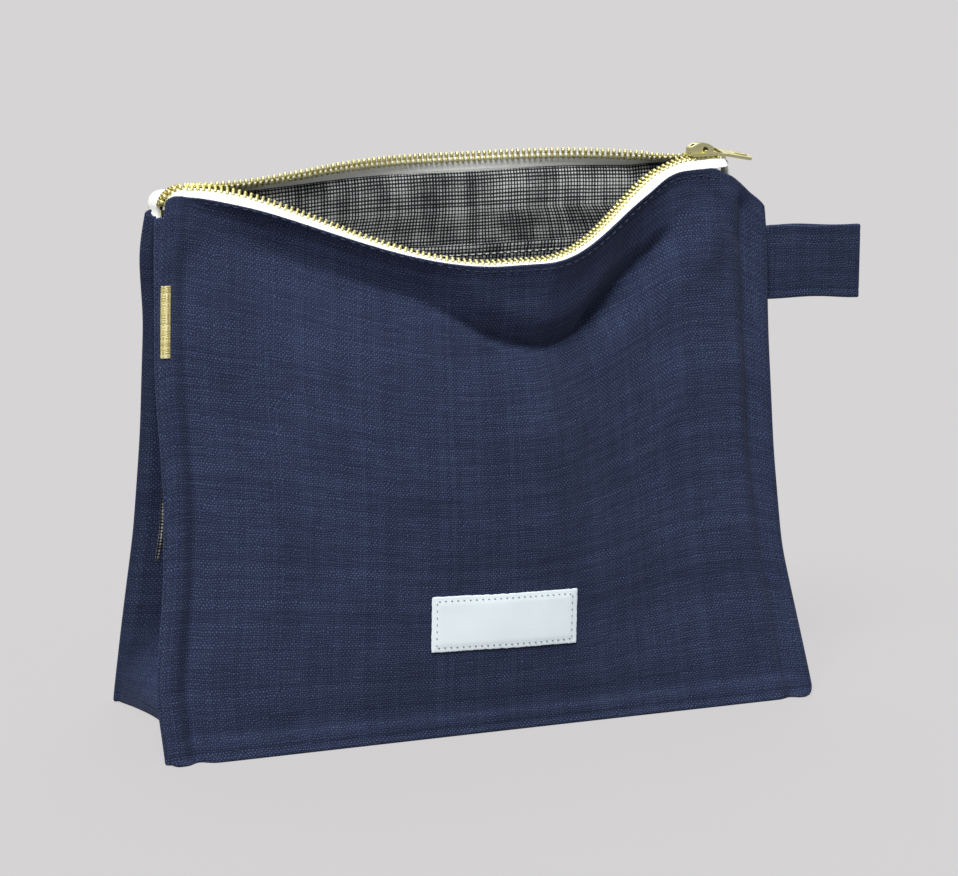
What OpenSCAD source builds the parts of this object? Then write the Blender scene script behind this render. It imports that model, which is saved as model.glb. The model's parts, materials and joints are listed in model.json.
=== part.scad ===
/* [Pouch] */
// Depth of the base, front seam to back seam
base_d = 82; // [70:1:96]
// Width of the left half of the base
base_left = 116.5; // [112:0.5:120]
// Width of the right half of the base
base_right = 114.5; // [112:0.5:120]
// Height of the closed zip line at mid width
zip_h = 186; // [180:1:195]
// Rise of the zip line per millimetre to the right
zip_slope = 0.018; // [0:0.002:0.03]
// How far the lower front and back panels belly out
belly = 3; // [0:0.5:5]
// Depth of the inward fold of each side gusset
gusset_fold = 24; // [12:1:28]

/* [Cloth] */
// Thickness of the canvas
canvas_t = 1.2; // [0.8:0.1:1.6]
// Thickness of the lining cloth
lining_t = 0.4; // [0.3:0.1:0.6]
// Air between neighbouring layers
layer_gap = 0.3; // [0.3:0.05:0.5]
// Width left unlined along each side seam
seam_allowance = 8; // [6:1:12]

/* [Mouth] */
// How far the open front rim has dropped below the zip line
front_drop = 27.9; // [15:0.1:30]
// How far the open front rim stands forward of the zip line
front_reach = 28.5; // [15:0.1:32]
// Curl of the front rim as it opens, in degrees
front_curl = 22; // [10:1:30]
// How far the open back rim rises above the zip line
back_rise = 4.3; // [0:0.1:6]
// How far the open back rim stands behind the zip line
back_reach = 12.5; // [8:0.1:16]
// Turn of the back rim as it opens, in degrees
back_curl = 50; // [30:1:60]

/* [Zip] */
// Spacing of the teeth along each tape
tooth_pitch = 2; // [1.8:0.1:3]
// Visible tape from the centre line to the panel fold
tape_w = 6; // [5:0.1:8]
// Thickness of the tape
tape_t = 0.5; // [0.4:0.1:0.7]
// Fall of the closed tapes to each side, in degrees
tape_fall = 28; // [15:1:35]
// Position of the slider along X when the mouth is open
slider_x = 86.6; // [84:0.1:88]

/* [Slider] */
// Length of the slider body
slider_len = 11.8; // [10:0.2:13]
// Half width of the slider at its mouth end
slider_front_w = 4.3; // [4.1:0.1:5]
// Half width of the slider at its tail
slider_rear_w = 2.9; // [2.7:0.1:3]
// Length of the pull tab from its pin
pull_len = 19.6; // [16:0.2:26]
// Droop of the pull tab at rest, in degrees
pull_droop = 12; // [10:1:14]

/* [Loop] */
// Width of the side loop, which is its height on the seam
loop_w = 26; // [20:1:30]
// Length of the side loop from the seam
loop_len = 36; // [25:1:45]
// Thickness of the folded loop strip
loop_t = 1.4; // [1.2:0.1:2.2]
// Clear space inside the loop at its widest
loop_gap = 5.4; // [5:0.1:10]

/* [Hidden] */
$fn = 48;
tiny = 0.01;

front_side = -1;
back_side = 1;
// The stretches over which each rim leaves the closed line: left foot, left and right of the full
// opening, right foot.
front_reach_x = [-100, 0, 14, 82];
back_reach_x = [-88, 2, 2, 96];
// The zip runs flatter where the slider holds it.
held_fall = 7;
held_from = 60;
held_over = 18;
// The rows of teeth spread round the wedge in the slider's mouth.
wedge_spread = 1.5;
tape_root = 1.4;
panel_gap = 0.35;
fold_drop = 0.6;
zip_left = -100;
zip_right = 93;
panel_left_x = -106;
panel_right_x = 108;
edge_y = base_d / 2;
// Height and half gap of the panels' side edges where the closed tapes meet them
shoulder_z = 181;
shoulder_y = 5.3;

function ease(t) = let (c = min(1, max(0, t))) c * c * (3 - 2 * c);
function mix(a, b, t) = a + (b - a) * t;
function zip_z(x) = zip_h + zip_slope * x;
function opening(x, feet) = x < feet[1] ? ease((x - feet[0]) / (feet[1] - feet[0]))
    : x > feet[2] ? ease((feet[3] - x) / (feet[3] - feet[2])) : 1;
function front_open(x) = opening(x, front_reach_x);
function back_open(x) = opening(x, back_reach_x);

// A turn of the (y, z) point p about c, anticlockwise seen from +X.
function turned(p, c, a) = [
    c[0] + (p[0] - c[0]) * cos(a) - (p[1] - c[1]) * sin(a),
    c[1] + (p[0] - c[0]) * sin(a) + (p[1] - c[1]) * cos(a)];
// The centre about which a turn of a takes p to q.
function turn_centre(p, q, a) =
    let (m = (p + q) / 2, h = (q - p) / 2 / tan(a / 2)) [m[0] - h[1], m[1] + h[0]];
closed_mid = [0, zip_h + 0.1];
front_axis = turn_centre(closed_mid, closed_mid + [-front_reach, -front_drop], -front_curl);
back_axis = turn_centre(closed_mid, closed_mid + [back_reach, back_rise], -back_curl);

function fall_at(x) = mix(tape_fall, held_fall, ease((x - held_from) / held_over));
// A point s out from the zip's centre line along a tape and t above it, closed and as the mouth lies.
function closed_at(side, x, s, t) = let (b = fall_at(x))
    [side * (s * cos(b) + t * sin(b)), zip_z(x) - s * sin(b) + t * cos(b)];
function rim_at(side, x, s, t) = side == front_side
    ? turned(closed_at(side, x, s, t), front_axis, -front_curl * front_open(x))
    : turned(closed_at(side, x, s, t), back_axis, -back_curl * back_open(x));
function rim_point(side, x, s, t) = let (p = rim_at(side, x, s, t)) [x, p[0], p[1]];
function rim_angle(side, x) = side == front_side ? fall_at(x) - front_curl * front_open(x)
    : -fall_at(x) - back_curl * back_open(x);

// The outline of the pouch: its side edges at height z, and the corners of its top edge. The back's left
// edge pulls in at the waist and bulges again under its top corner.
function left_edge(side, z) = side == front_side ? -base_left + 8.5 * ease((z - 70) / 110)
    : -base_left - 1 + 6.5 * ease(z / 80) - 2.5 * ease((z - 140) / 20);
function right_edge(z) = base_right - 10 * ease(z / 60) + 4.5 * ease((z - 90) / 80);
function edge_half_gap(z) = mix(edge_y, shoulder_y, z / shoulder_z);
corner_r = 8;
chamfer_x = 94;
chamfer_drop = 1.4;
chamfer_ease = 12;
function corner_drop(x) = x < zip_left + 2 ? corner_r - sqrt(max(0, corner_r ^ 2 - (zip_left + 2 - x) ^ 2))
    : x > chamfer_x ? chamfer_drop + (x - chamfer_x)
    : chamfer_drop * ease((x - chamfer_x + chamfer_ease) / chamfer_ease);
// The top edge of the front or back panel.
function fold_at(side, x) = let (p = rim_at(side, x, tape_w + panel_gap, 0))
    [p[0] + side * 0.2 * corner_drop(x), p[1] - fold_drop - corner_drop(x)];

// A point of the front or back panel at u across and v up, set in by d from its outer face.
function panel_point(side, u, v, d) = let (
        top_x = mix(panel_left_x, panel_right_x, u),
        top = fold_at(side, top_x),
        z = v * top[1],
        x = mix(mix(left_edge(side, z), right_edge(z), u), top_x, v ^ 8),
        bow = belly * sin(180 * v) * (1 - (2 * u - 1) ^ 4))
    [x, mix(side * edge_y, top[0], v) + side * bow - side * d, z];

// A point of a side gusset at s from front seam (-1) to back seam (1), set in by d.
function fold_depth(z) = gusset_fold * ease((z - 25) / 90) * (1 - 0.55 * ease((z - 120) / 55));
function gusset_half(z) = edge_half_gap(z) - canvas_t - layer_gap;
function gusset_x(end, s, z) = end < 0
    ? mix(left_edge(front_side, z), left_edge(back_side, z), (s + 1) / 2) + fold_depth(z) * (1 - abs(s) ^ 1.4)
    : right_edge(z) - fold_depth(z) * (1 - abs(s) ^ 1.4);
function gusset_point(end, s, z, d) = [gusset_x(end, s, z) - end * d, s * gusset_half(z), z];

// A closed sheet between two grids of points with the same rows and columns.
module sheet(outer, inner) {
    rows = len(outer);
    cols = len(outer[0]);
    grid = rows * cols;
    function at(r, c, layer) = layer * grid + r * cols + c;
    quads = concat(
        [for (r = [0:rows - 2]) for (c = [0:cols - 2])
            [at(r, c, 0), at(r, c + 1, 0), at(r + 1, c + 1, 0), at(r + 1, c, 0)]],
        [for (r = [0:rows - 2]) for (c = [0:cols - 2])
            [at(r, c, 1), at(r + 1, c, 1), at(r + 1, c + 1, 1), at(r, c + 1, 1)]],
        [for (c = [0:cols - 2]) [at(0, c, 0), at(0, c, 1), at(0, c + 1, 1), at(0, c + 1, 0)]],
        [for (c = [0:cols - 2])
            [at(rows - 1, c, 0), at(rows - 1, c + 1, 0), at(rows - 1, c + 1, 1), at(rows - 1, c, 1)]],
        [for (r = [0:rows - 2]) [at(r, 0, 0), at(r + 1, 0, 0), at(r + 1, 0, 1), at(r, 0, 1)]],
        [for (r = [0:rows - 2])
            [at(r, cols - 1, 0), at(r, cols - 1, 1), at(r + 1, cols - 1, 1), at(r + 1, cols - 1, 0)]]);
    tris = [for (q = quads) for (t = [[q[0], q[1], q[2]], [q[0], q[2], q[3]]]) t];
    polyhedron(concat([for (row = outer) each row], [for (row = inner) each row]), tris);
}

// Rows run up the panel. Front and back list their columns in opposite order, so their faces point outwards.
module panel_sheet(side, u0, u1, v0, v1, d0, d1, cols, rows) {
    function across(c) = side == front_side ? mix(u0, u1, c / cols) : mix(u1, u0, c / cols);
    function layer(d) = [for (r = [0:rows]) [for (c = [0:cols])
        panel_point(side, across(c), mix(v0, v1, r / rows), d)]];
    sheet(layer(d1), layer(d0));
}

module gusset_sheet(end, reach, z0, z1, d0, d1, cols, rows) {
    function along(c) = end < 0 ? mix(reach, -reach, c / cols) : mix(-reach, reach, c / cols);
    function layer(d) = [for (r = [0:rows]) [for (c = [0:cols])
        gusset_point(end, along(c), mix(z0, z1, r / rows), d)]];
    sheet(layer(d1), layer(d0));
}

navy = [0.13, 0.16, 0.25];
check = [0.55, 0.56, 0.56];
white = [0.92, 0.93, 0.91];
brass = [0.78, 0.72, 0.42];

lining_out = canvas_t + layer_gap;
lining_in = lining_out + lining_t;
lining_u = seam_allowance / (base_left + base_right);
lining_bottom = 0.02;
lining_top = 0.97;
gusset_top = 171;

module front_panel() { color(navy) panel_sheet(front_side, 0, 1, 0, 1, 0, canvas_t, 40, 12); }
module back_panel() { color(navy) panel_sheet(back_side, 0, 1, 0, 1, 0, canvas_t, 40, 12); }
module front_lining() {
    color(check) panel_sheet(front_side, lining_u, 1 - lining_u, lining_bottom, lining_top,
        lining_out, lining_in, 28, 8);
}
module back_lining() {
    color(check) panel_sheet(back_side, lining_u, 1 - lining_u, lining_bottom, lining_top,
        lining_out, lining_in, 28, 8);
}
module left_gusset() { color(navy) gusset_sheet(-1, 1, 0, gusset_top, 0, canvas_t, 12, 16); }
module right_gusset() { color(navy) gusset_sheet(1, 1, 0, gusset_top, 0, canvas_t, 12, 16); }
gusset_lining_reach = 0.86;
gusset_lining_bottom = lining_in + layer_gap;
module left_gusset_lining() {
    color(check) gusset_sheet(-1, gusset_lining_reach, gusset_lining_bottom, gusset_top - 8,
        lining_out, lining_in, 12, 16);
}
module right_gusset_lining() {
    color(check) gusset_sheet(1, gusset_lining_reach, gusset_lining_bottom, gusset_top - 8,
        lining_out, lining_in, 12, 16);
}

// The base fits between the four walls, whose lower edges all stand on the floor.
base_inset = canvas_t + layer_gap;
module base_slab(inset, z, t) {
    translate([-base_left + inset, -edge_y + inset, z])
        cube([base_left + base_right - 2 * inset, base_d - 2 * inset, t]);
}
module base_panel() { color(navy) base_slab(base_inset, 0, canvas_t); }
module base_lining() { color(check) base_slab(base_inset + 3, canvas_t + layer_gap, lining_t); }

// A slip pocket on the back lining, slack at its mouth.
pocket_u = [0.39, 0.72];
pocket_v = [0.32, 0.87];
pocket_slack = 7.2;
pocket_cols = 14;
pocket_rows = 10;
function pocket_point(cu, cv, extra) = let (slack = pocket_slack * (1 - (2 * cu - 1) ^ 4) * ease(cv * 1.6))
    panel_point(back_side, mix(pocket_u[0], pocket_u[1], cu), mix(pocket_v[0], pocket_v[1], cv),
        lining_in + layer_gap + slack + extra);
module inner_pocket() {
    function layer(extra) = [for (r = [0:pocket_rows]) [for (c = [0:pocket_cols])
        pocket_point(1 - c / pocket_cols, r / pocket_rows, extra)]];
    color(check) sheet(layer(lining_t), layer(0));
}
stitch_len = 1.7;
stitch_d = 0.3;
stitch_pitch = 2.6;
stitch_lift = 0.4;
pocket_hem_v = 0.965;
module pocket_stitching() {
    count = floor((pocket_u[1] - pocket_u[0]) * (base_left + base_right) / stitch_pitch) - 3;
    color(white) for (i = [1:count])
        translate(pocket_point(i / (count + 1), pocket_hem_v, lining_t + stitch_lift))
            translate([-stitch_len / 2, -stitch_d / 2, -stitch_d / 2]) cube([stitch_len, stitch_d, stitch_d]);
}

// The zip's tapes, one each side of the mouth.
function spread(x) = wedge_spread * ease((slider_x - 1 - x) / 2.6) * ease((x - 64) / 10);
module tape(side, x0, x1, cols) {
    across = 3;
    function s_at(x, r) = mix(tape_root + spread(x), tape_w, r / across);
    function x_at(c) = side == front_side ? mix(x0, x1, c / cols) : mix(x1, x0, c / cols);
    function layer(t) = [for (r = [0:across]) [for (c = [0:cols]) let (x = x_at(c))
        rim_point(side, x, s_at(x, across - r), t)]];
    color(white) sheet(layer(-tape_t / 2), layer(tape_t / 2));
}
module front_tape() { tape(front_side, zip_left, zip_right, 72); }
module back_tape() { tape(back_side, zip_left, zip_right, 72); }

// A tooth in plan: a body crimped beside the tape's edge and a nose that meshes across the centre.
tooth_nose = 0.6;
tooth_body = tape_root - layer_gap;
tooth_t = 1.7;
module tooth() {
    translate([0, 0, -tooth_t / 2]) linear_extrude(tooth_t) polygon([
        [-0.3, -tooth_nose], [0.3, -tooth_nose], [0.34, 0.45], [0.6, 0.68],
        [0.6, tooth_body], [-0.6, tooth_body], [-0.6, 0.68], [-0.34, 0.45]]);
}
// Teeth sit one pitch apart along the rim, so they crowd together in X where it falls steeply.
function rim_step(side, x) =
    x + tooth_pitch / norm(rim_point(side, x + 0.5, 0, 0) - rim_point(side, x - 0.5, 0, 0));
function tooth_places(side, x, end) = x > end ? []
    : concat([x], tooth_places(side, rim_step(side, x), end));
module facing(side) {
    if (side == back_side) {
        children();
    } else {
        mirror([0, 1, 0]) children();
    }
}
// The free teeth count from the left end, and the meshed ones in the slider from the right end.
module teeth_row(side, first, last) {
    meshed = [for (k = [0:3]) last - k * tooth_pitch];
    free = tooth_places(side, first, meshed[3] - 0.8 * tooth_pitch);
    color(brass) for (x = concat(free, meshed)) {
        translate(rim_point(side, x, spread(x), 0)) rotate([rim_angle(side, x), 0, 0]) facing(side) tooth();
    }
}
half_pitch = tooth_pitch / 2;
module front_teeth() { teeth_row(front_side, zip_left + half_pitch / 2, zip_right - half_pitch / 2); }
module back_teeth() { teeth_row(back_side, zip_left + 1.5 * half_pitch, zip_right - 1.5 * half_pitch); }

// Past the last free tooth the zip turns down over the left end of the pouch.
end_bend_r = 6.5;
end_teeth = 5;
function end_centre() = [zip_left - 0.8, zip_z(zip_left) - end_bend_r];
module at_end_bend(a, lift) {
    c = end_centre();
    translate([c[0] - (end_bend_r + lift) * sin(a), 0, c[1] + (end_bend_r + lift) * cos(a)])
        rotate([0, -a, 0]) children();
}
end_step = half_pitch / end_bend_r * 180 / PI;
module left_end_teeth() {
    color(brass) for (i = [0:2 * end_teeth - 1])
        at_end_bend(end_step * (i + 0.5), 0)
            facing(i % 2 == 0 ? front_side : back_side) tooth();
}
module end_strip(side) {
    function arc_layer(t) = [for (y = [tape_root, 4.2]) [for (k = [0:8]) let (
            a = 95 * (side == front_side ? 8 - k : k) / 8, c = end_centre(), r = end_bend_r + t)
        [c[0] - r * sin(a), side * y, c[1] + r * cos(a)]]];
    sheet(arc_layer(tape_t / 2), arc_layer(-tape_t / 2));
}
module left_tape_end() {
    color(white) end_strip(front_side);
    color(white) end_strip(back_side);
}
module top_stops() {
    color(brass) for (side = [front_side, back_side])
        at_end_bend(end_step * 2 * end_teeth + 8, 0)
            translate([-1.6, side * (tape_root / 2 + 0.1) - 0.55, -0.9]) cube([2, 1.1, 1.8]);
}
// At the right the meshed tail of the zip ends in a folded stop and dives between the panels.
tail_x = zip_right + 0.6;
module bottom_stop() {
    color(brass) translate([tail_x, -1.9, zip_z(tail_x) - 1.5]) cube([1.8, 3.8, 1.9]);
}
module right_tape_end() {
    color(white) translate([tail_x + 2.2, -3, zip_z(tail_x) - 8]) cube([0.6, 6, 7]);
}

// The slider, drawn about its own centre with its mouth towards -X.
channel_h = 1.25;
plate_t = 0.65;
flange_t = 0.6;
flange_gap = 0.85;
plate_top = channel_h + plate_t;
wedge_len = 3.4;
wedge_half = 0.6;
pin_x = 0.8;
pin_z = 3.1;
pin_r = 0.7;
tunnel_r = 1.05;
module on_slider() {
    translate([slider_x, 0, zip_z(slider_x)]) rotate([0, -atan(zip_slope), 0]) children();
}
half_len = slider_len / 2;
module slider_plan(inset) {
    polygon([[-half_len + 1.2, -slider_front_w + inset], [half_len - 0.8, -slider_rear_w + inset],
        [half_len, -slider_rear_w + 0.8], [half_len, slider_rear_w - 0.8],
        [half_len - 0.8, slider_rear_w - inset], [-half_len + 1.2, slider_front_w - inset],
        [-half_len, slider_front_w - 1.4], [-half_len, 1.6], [-half_len + 0.6, 0],
        [-half_len, -1.6], [-half_len, -slider_front_w + 1.4]]);
}
module flange(side) {
    linear_extrude(channel_h - flange_gap + tiny) polygon([
        [-half_len + 1.2, side * slider_front_w], [half_len - 0.8, side * slider_rear_w],
        [half_len - 0.8, side * (slider_rear_w - flange_t)],
        [-half_len + 1.2, side * (slider_front_w - flange_t)]]);
}
module slider_body() {
    color(brass) on_slider() {
        difference() {
            translate([0, 0, channel_h]) linear_extrude(plate_t) slider_plan(0);
            translate([claw_x, 0, channel_h - tiny]) cylinder(h = plate_t + 2 * tiny, r = claw_hole_r);
        }
        translate([0, 0, -plate_top]) linear_extrude(plate_t) slider_plan(0);
        for (side = [-1, 1]) {
            translate([0, 0, flange_gap]) flange(side);
            translate([0, 0, -channel_h - tiny]) flange(side);
        }
        translate([0, 0, -channel_h - tiny]) linear_extrude(2 * channel_h + 2 * tiny) polygon([
            [-half_len + 0.7, 0], [-half_len + 1.3, -wedge_half], [-half_len + wedge_len, 0],
            [-half_len + 1.3, wedge_half]]);
    }
}
crown_half_w = 2.3;
crown_top = 5.5;
crown_r = 6.2;
crown_x = [-4.6, 4];
claw_x = 2.8;
claw_hole_r = 0.75;
claw_r = 0.4;
spring_half_w = 0.7;
spring_z = 4.25;
spring_t = 0.3;
spring_room = 0.55;
module slider_crown() {
    color(brass) on_slider() difference() {
        translate([0, crown_half_w, 0]) rotate([90, 0, 0]) linear_extrude(2 * crown_half_w) intersection() {
            translate([-0.3, crown_top - crown_r]) circle(crown_r, $fn = 96);
            translate([crown_x[0], plate_top + 0.02]) square([crown_x[1] - crown_x[0], crown_top]);
        }
        translate([pin_x, 0, pin_z]) rotate([90, 0, 0]) cylinder(h = 8, r = tunnel_r, center = true);
        translate([crown_x[0] + 0.9, -spring_half_w - 0.2, pin_z]) cube([6.9, 2 * spring_half_w + 0.4, 1.95]);
        translate([claw_x, 0, plate_top - 1]) cylinder(h = 3, r = claw_hole_r);
    }
}
// A sprung leaf under the crown whose claw drops between the teeth until the pull lifts it.
module lock_spring() {
    color("silver") on_slider() {
        translate([crown_x[0] + 1.3, -spring_half_w, spring_z]) cube([6.1, 2 * spring_half_w, spring_t]);
        translate([claw_x, 0, channel_h - 0.1]) cylinder(h = spring_z - channel_h + 0.2, r = claw_r);
    }
}
// The pull: a pin through the crown, two arms beside it and a tab with a slot near its end.
arm_in = 3.05;
arm_w = 0.65;
arm_t = 1;
tab_from = 6.4;
tab_half_w = 2.7;
tab_end_r = 2.7;
module pull_tab() {
    color(brass) on_slider() translate([pin_x, 0, pin_z]) rotate([0, pull_droop, 0]) {
        rotate([90, 0, 0]) cylinder(h = 2 * (arm_in + arm_w), r = pin_r, center = true);
        for (side = [-1, 1])
            translate([0, side * (arm_in + arm_w / 2) - arm_w / 2, -arm_t / 2])
                cube([tab_from + 0.6, arm_w, arm_t]);
        for (side = [-1, 1])
            translate([0, side * (arm_in + arm_w / 2), 0]) rotate([90, 0, 0])
                cylinder(h = arm_w, r = pin_r, center = true);
        translate([tab_from, -(arm_in + arm_w), -arm_t / 2]) cube([1.2, 2 * (arm_in + arm_w), arm_t]);
        difference() {
            translate([0, 0, -arm_t / 2]) linear_extrude(arm_t) union() {
                translate([tab_from + 0.6, -tab_half_w])
                    square([pull_len - tab_end_r - tab_from - 0.6, 2 * tab_half_w]);
                translate([pull_len - tab_end_r, 0]) circle(tab_end_r);
            }
            translate([0, 0, -arm_t]) linear_extrude(2 * arm_t) union() {
                translate([pull_len - 6.2, -0.9]) square([3.4, 1.8]);
                translate([pull_len - 6.2, 0]) circle(0.9);
                translate([pull_len - 2.8, 0]) circle(0.9);
            }
        }
    }
}

// A strip of canvas folded to a loop, its two ends held in the front right seam.
loop_z = 138;
loop_root = 4;
loop_y = -edge_half_gap(loop_z + loop_w / 2) + 1.6;
// A slim teardrop: two straight sides from the root to a round end.
module teardrop(root_x, root_half, end_r) {
    centre_x = loop_len - loop_gap / 2 - loop_t;
    polygon(concat([[root_x, -root_half]],
        [for (a = [-80:10:80]) [centre_x + end_r * cos(a), end_r * sin(a)]],
        [[root_x, root_half]]));
}
module side_loop() {
    color(navy) translate([right_edge(loop_z) + 2.2, loop_y, loop_z]) linear_extrude(loop_w) difference() {
        teardrop(0, loop_t, loop_gap / 2 + loop_t);
        teardrop(loop_root, 0.05, loop_gap / 2);
    }
}

// A short metallic ribbon on the front left seam.
tab_low = 130.5;
tab_high = 153.5;
module gold_tab() {
    z = (tab_low + tab_high) / 2;
    lean = atan((edge_y - shoulder_y) / shoulder_z);
    color(brass) translate([left_edge(front_side, z), -edge_half_gap(z), z]) rotate([-lean, 0, 0])
        translate([-1.4, -1.6, -(tab_high - tab_low) / 2]) cube([2.8, 1.2, tab_high - tab_low]);
}

// A blank woven label on the lower middle of the front.
label_size = [52, 18.5];
label_centre = [-2.5, 38.8];
label_tilt = -1.7;
label_t = 0.5;
function front_face_y(z) = panel_point(front_side, 0.51, z / fold_at(front_side, 2)[1], 0)[1];
module on_front(x, z) {
    lean = atan2(front_face_y(z + 8) - front_face_y(z - 8), 16);
    translate([x, front_face_y(z), z]) rotate([-lean, 0, 0]) rotate([0, -label_tilt, 0]) children();
}
module label() {
    color(white) on_front(label_centre[0], label_centre[1])
        translate([-label_size[0] / 2, -label_t - 0.25, -label_size[1] / 2])
            cube([label_size[0], label_t, label_size[1]]);
}
module label_stitches() {
    inset = 1.1;
    w = label_size[0] - 2 * inset;
    h = label_size[1] - 2 * inset;
    nx = floor(w / stitch_pitch);
    nz = floor(h / stitch_pitch);
    color(check) on_front(label_centre[0], label_centre[1])
        translate([0, -label_t - 0.25 - stitch_d - 0.05, 0]) {
            for (side = [-1, 1]) for (i = [0:nx - 1])
                translate([-w / 2 + (i + 0.5) * w / nx - stitch_len / 2, 0, side * h / 2 - stitch_d / 2])
                    cube([stitch_len, stitch_d, stitch_d]);
            for (side = [-1, 1]) for (i = [0:nz - 1])
                translate([side * w / 2 - stitch_d / 2, 0, -h / 2 + (i + 0.5) * h / nz - stitch_len / 2])
                    cube([stitch_d, stitch_d, stitch_len]);
        }
}

// Topstitching just below the fold of each panel.
rim_stitch_drop = 1.3;
rim_stitch_pitch = 3;
rim_stitch_from = -94;
rim_stitch_to = 91;
function rim_stitch_at(side, x) = let (u = (x - panel_left_x) / (panel_right_x - panel_left_x))
    panel_point(side, u, 1 - rim_stitch_drop / fold_at(side, x)[1], -stitch_lift);
module rim_stitching(side) {
    color(navy * 1.4) for (x = [rim_stitch_from:rim_stitch_pitch:rim_stitch_to]) {
        a = rim_stitch_at(side, x - 1);
        b = rim_stitch_at(side, x + 1);
        d = b - a;
        translate((a + b) / 2) rotate([0, -atan2(d[2], norm([d[0], d[1]])), atan2(d[1], d[0])])
            translate([-stitch_len / 2, -stitch_d / 2, -stitch_d / 2]) cube([stitch_len, stitch_d, stitch_d]);
    }
}
module front_rim_stitching() { rim_stitching(front_side); }
module back_rim_stitching() { rim_stitching(back_side); }

front_panel();
back_panel();
base_panel();
left_gusset();
right_gusset();
front_lining();
back_lining();
base_lining();
left_gusset_lining();
right_gusset_lining();
inner_pocket();
pocket_stitching();
front_tape();
back_tape();
front_teeth();
back_teeth();
left_tape_end();
right_tape_end();
left_end_teeth();
top_stops();
bottom_stop();
slider_body();
slider_crown();
lock_spring();
pull_tab();
side_loop();
gold_tab();
label();
label_stitches();
front_rim_stitching();
back_rim_stitching();
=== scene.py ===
"""Zippered canvas pouch: the looks of its cloth, zip and trim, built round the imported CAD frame.
Lengths in the shape functions are in millimetres; every mesh is made in metres, in the row frame."""

import json
import math

import bpy
import numpy as np
from mathutils import Matrix, Vector

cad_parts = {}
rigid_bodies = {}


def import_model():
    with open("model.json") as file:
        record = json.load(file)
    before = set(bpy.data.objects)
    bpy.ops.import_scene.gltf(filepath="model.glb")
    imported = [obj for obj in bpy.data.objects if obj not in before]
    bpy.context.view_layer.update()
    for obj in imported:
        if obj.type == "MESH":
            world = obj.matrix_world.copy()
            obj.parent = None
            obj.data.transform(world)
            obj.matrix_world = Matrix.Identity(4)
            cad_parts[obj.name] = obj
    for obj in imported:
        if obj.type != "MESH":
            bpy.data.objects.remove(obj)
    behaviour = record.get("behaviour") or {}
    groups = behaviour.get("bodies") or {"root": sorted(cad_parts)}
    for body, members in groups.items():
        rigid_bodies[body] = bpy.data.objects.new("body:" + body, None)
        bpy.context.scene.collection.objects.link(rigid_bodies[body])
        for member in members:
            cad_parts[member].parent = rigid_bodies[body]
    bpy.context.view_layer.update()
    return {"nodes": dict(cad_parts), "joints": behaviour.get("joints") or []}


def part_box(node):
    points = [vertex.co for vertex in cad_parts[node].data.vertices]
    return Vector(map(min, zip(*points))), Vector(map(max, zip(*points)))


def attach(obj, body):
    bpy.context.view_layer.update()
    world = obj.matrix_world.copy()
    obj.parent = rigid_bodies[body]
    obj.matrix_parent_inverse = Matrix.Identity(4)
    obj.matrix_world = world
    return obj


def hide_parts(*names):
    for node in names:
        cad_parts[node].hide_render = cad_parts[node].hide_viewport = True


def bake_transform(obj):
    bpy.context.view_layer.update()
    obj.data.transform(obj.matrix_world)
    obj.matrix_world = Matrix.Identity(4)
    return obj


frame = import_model()

MM = 0.001
FRONT = -1
BACK = 1


def box_mm(node):
    """A CAD node's lowest and highest corners in millimetres."""
    low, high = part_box(node)
    return np.array(low) / MM, np.array(high) / MM


def joint(name):
    return next(j for j in frame["joints"] if j["name"] == name)


# Sizes taken from the frame.
base_low, base_high = box_mm("base_panel")
EDGE_Y = base_high[1] + 1.5
BASE_LEFT = -base_low[0] + 1.5
BASE_RIGHT = base_high[0] + 1.5
SLIDER_X = float(np.mean([p[0] for p in box_mm("slider_body")]))
LOOP_LOW, LOOP_HIGH = box_mm("side_loop")
FRONT_AXIS = np.array(joint("front_rim_swing")["pos_m"][1:]) / MM
BACK_AXIS = np.array(joint("back_rim_swing")["pos_m"][1:]) / MM
FRONT_CURL = math.radians(22)
BACK_CURL = math.radians(50)

# Sizes shared with the CAD source.
ZIP_H = 186
ZIP_SLOPE = 0.018
ZIP_LEFT = -100
ZIP_RIGHT = 93
PANEL_LEFT = -108.3
PANEL_RIGHT = 108
SHOULDER_Z = 181
SHOULDER_Y = 5.3
BELLY = 3
EDGE_TURN = 24
FOLD_S = 6.35
FRONT_REACH_X = (-100, 0, 14, 82)
BACK_REACH_X = (-88, 2, 2, 96)
FRONT_CUT = 25 / 3
BACK_CUT = 2
TOOTH_PITCH = 2


# ---------------------------------------------------------------- shape of the pouch
def ease(t):
    c = np.clip(t, 0, 1)
    return c * c * (3 - 2 * c)


def mix(a, b, t):
    return a + (b - a) * t


def smooth_line(knots, soft):
    """A function through the (x, value) knots, smoothed over about soft millimetres."""
    xs = np.arange(-140, 230.25, 0.5)
    ys = np.interp(xs, [k[0] for k in knots], [k[1] for k in knots])
    reach = int(soft * 6)
    kernel = np.exp(-0.5 * (np.arange(-reach, reach + 1) * 0.5 / soft) ** 2)
    ys = np.convolve(np.pad(ys, reach, "edge"), kernel / kernel.sum(), "valid")
    return lambda x: np.interp(x, xs, ys)


def zip_z(x):
    return ZIP_H + ZIP_SLOPE * x


def opening(x, feet):
    left = ease((x - feet[0]) / (feet[1] - feet[0]))
    right = ease((feet[3] - x) / (feet[3] - feet[2]))
    return np.where(x < feet[1], left, np.where(x > feet[2], right, 1.0))


def fall_at(x):
    return np.radians(mix(28, 7, ease((x - 60) / 18)))


SHED = 2.4  # how far the tape sinks away from the chain beside the slider


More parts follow.
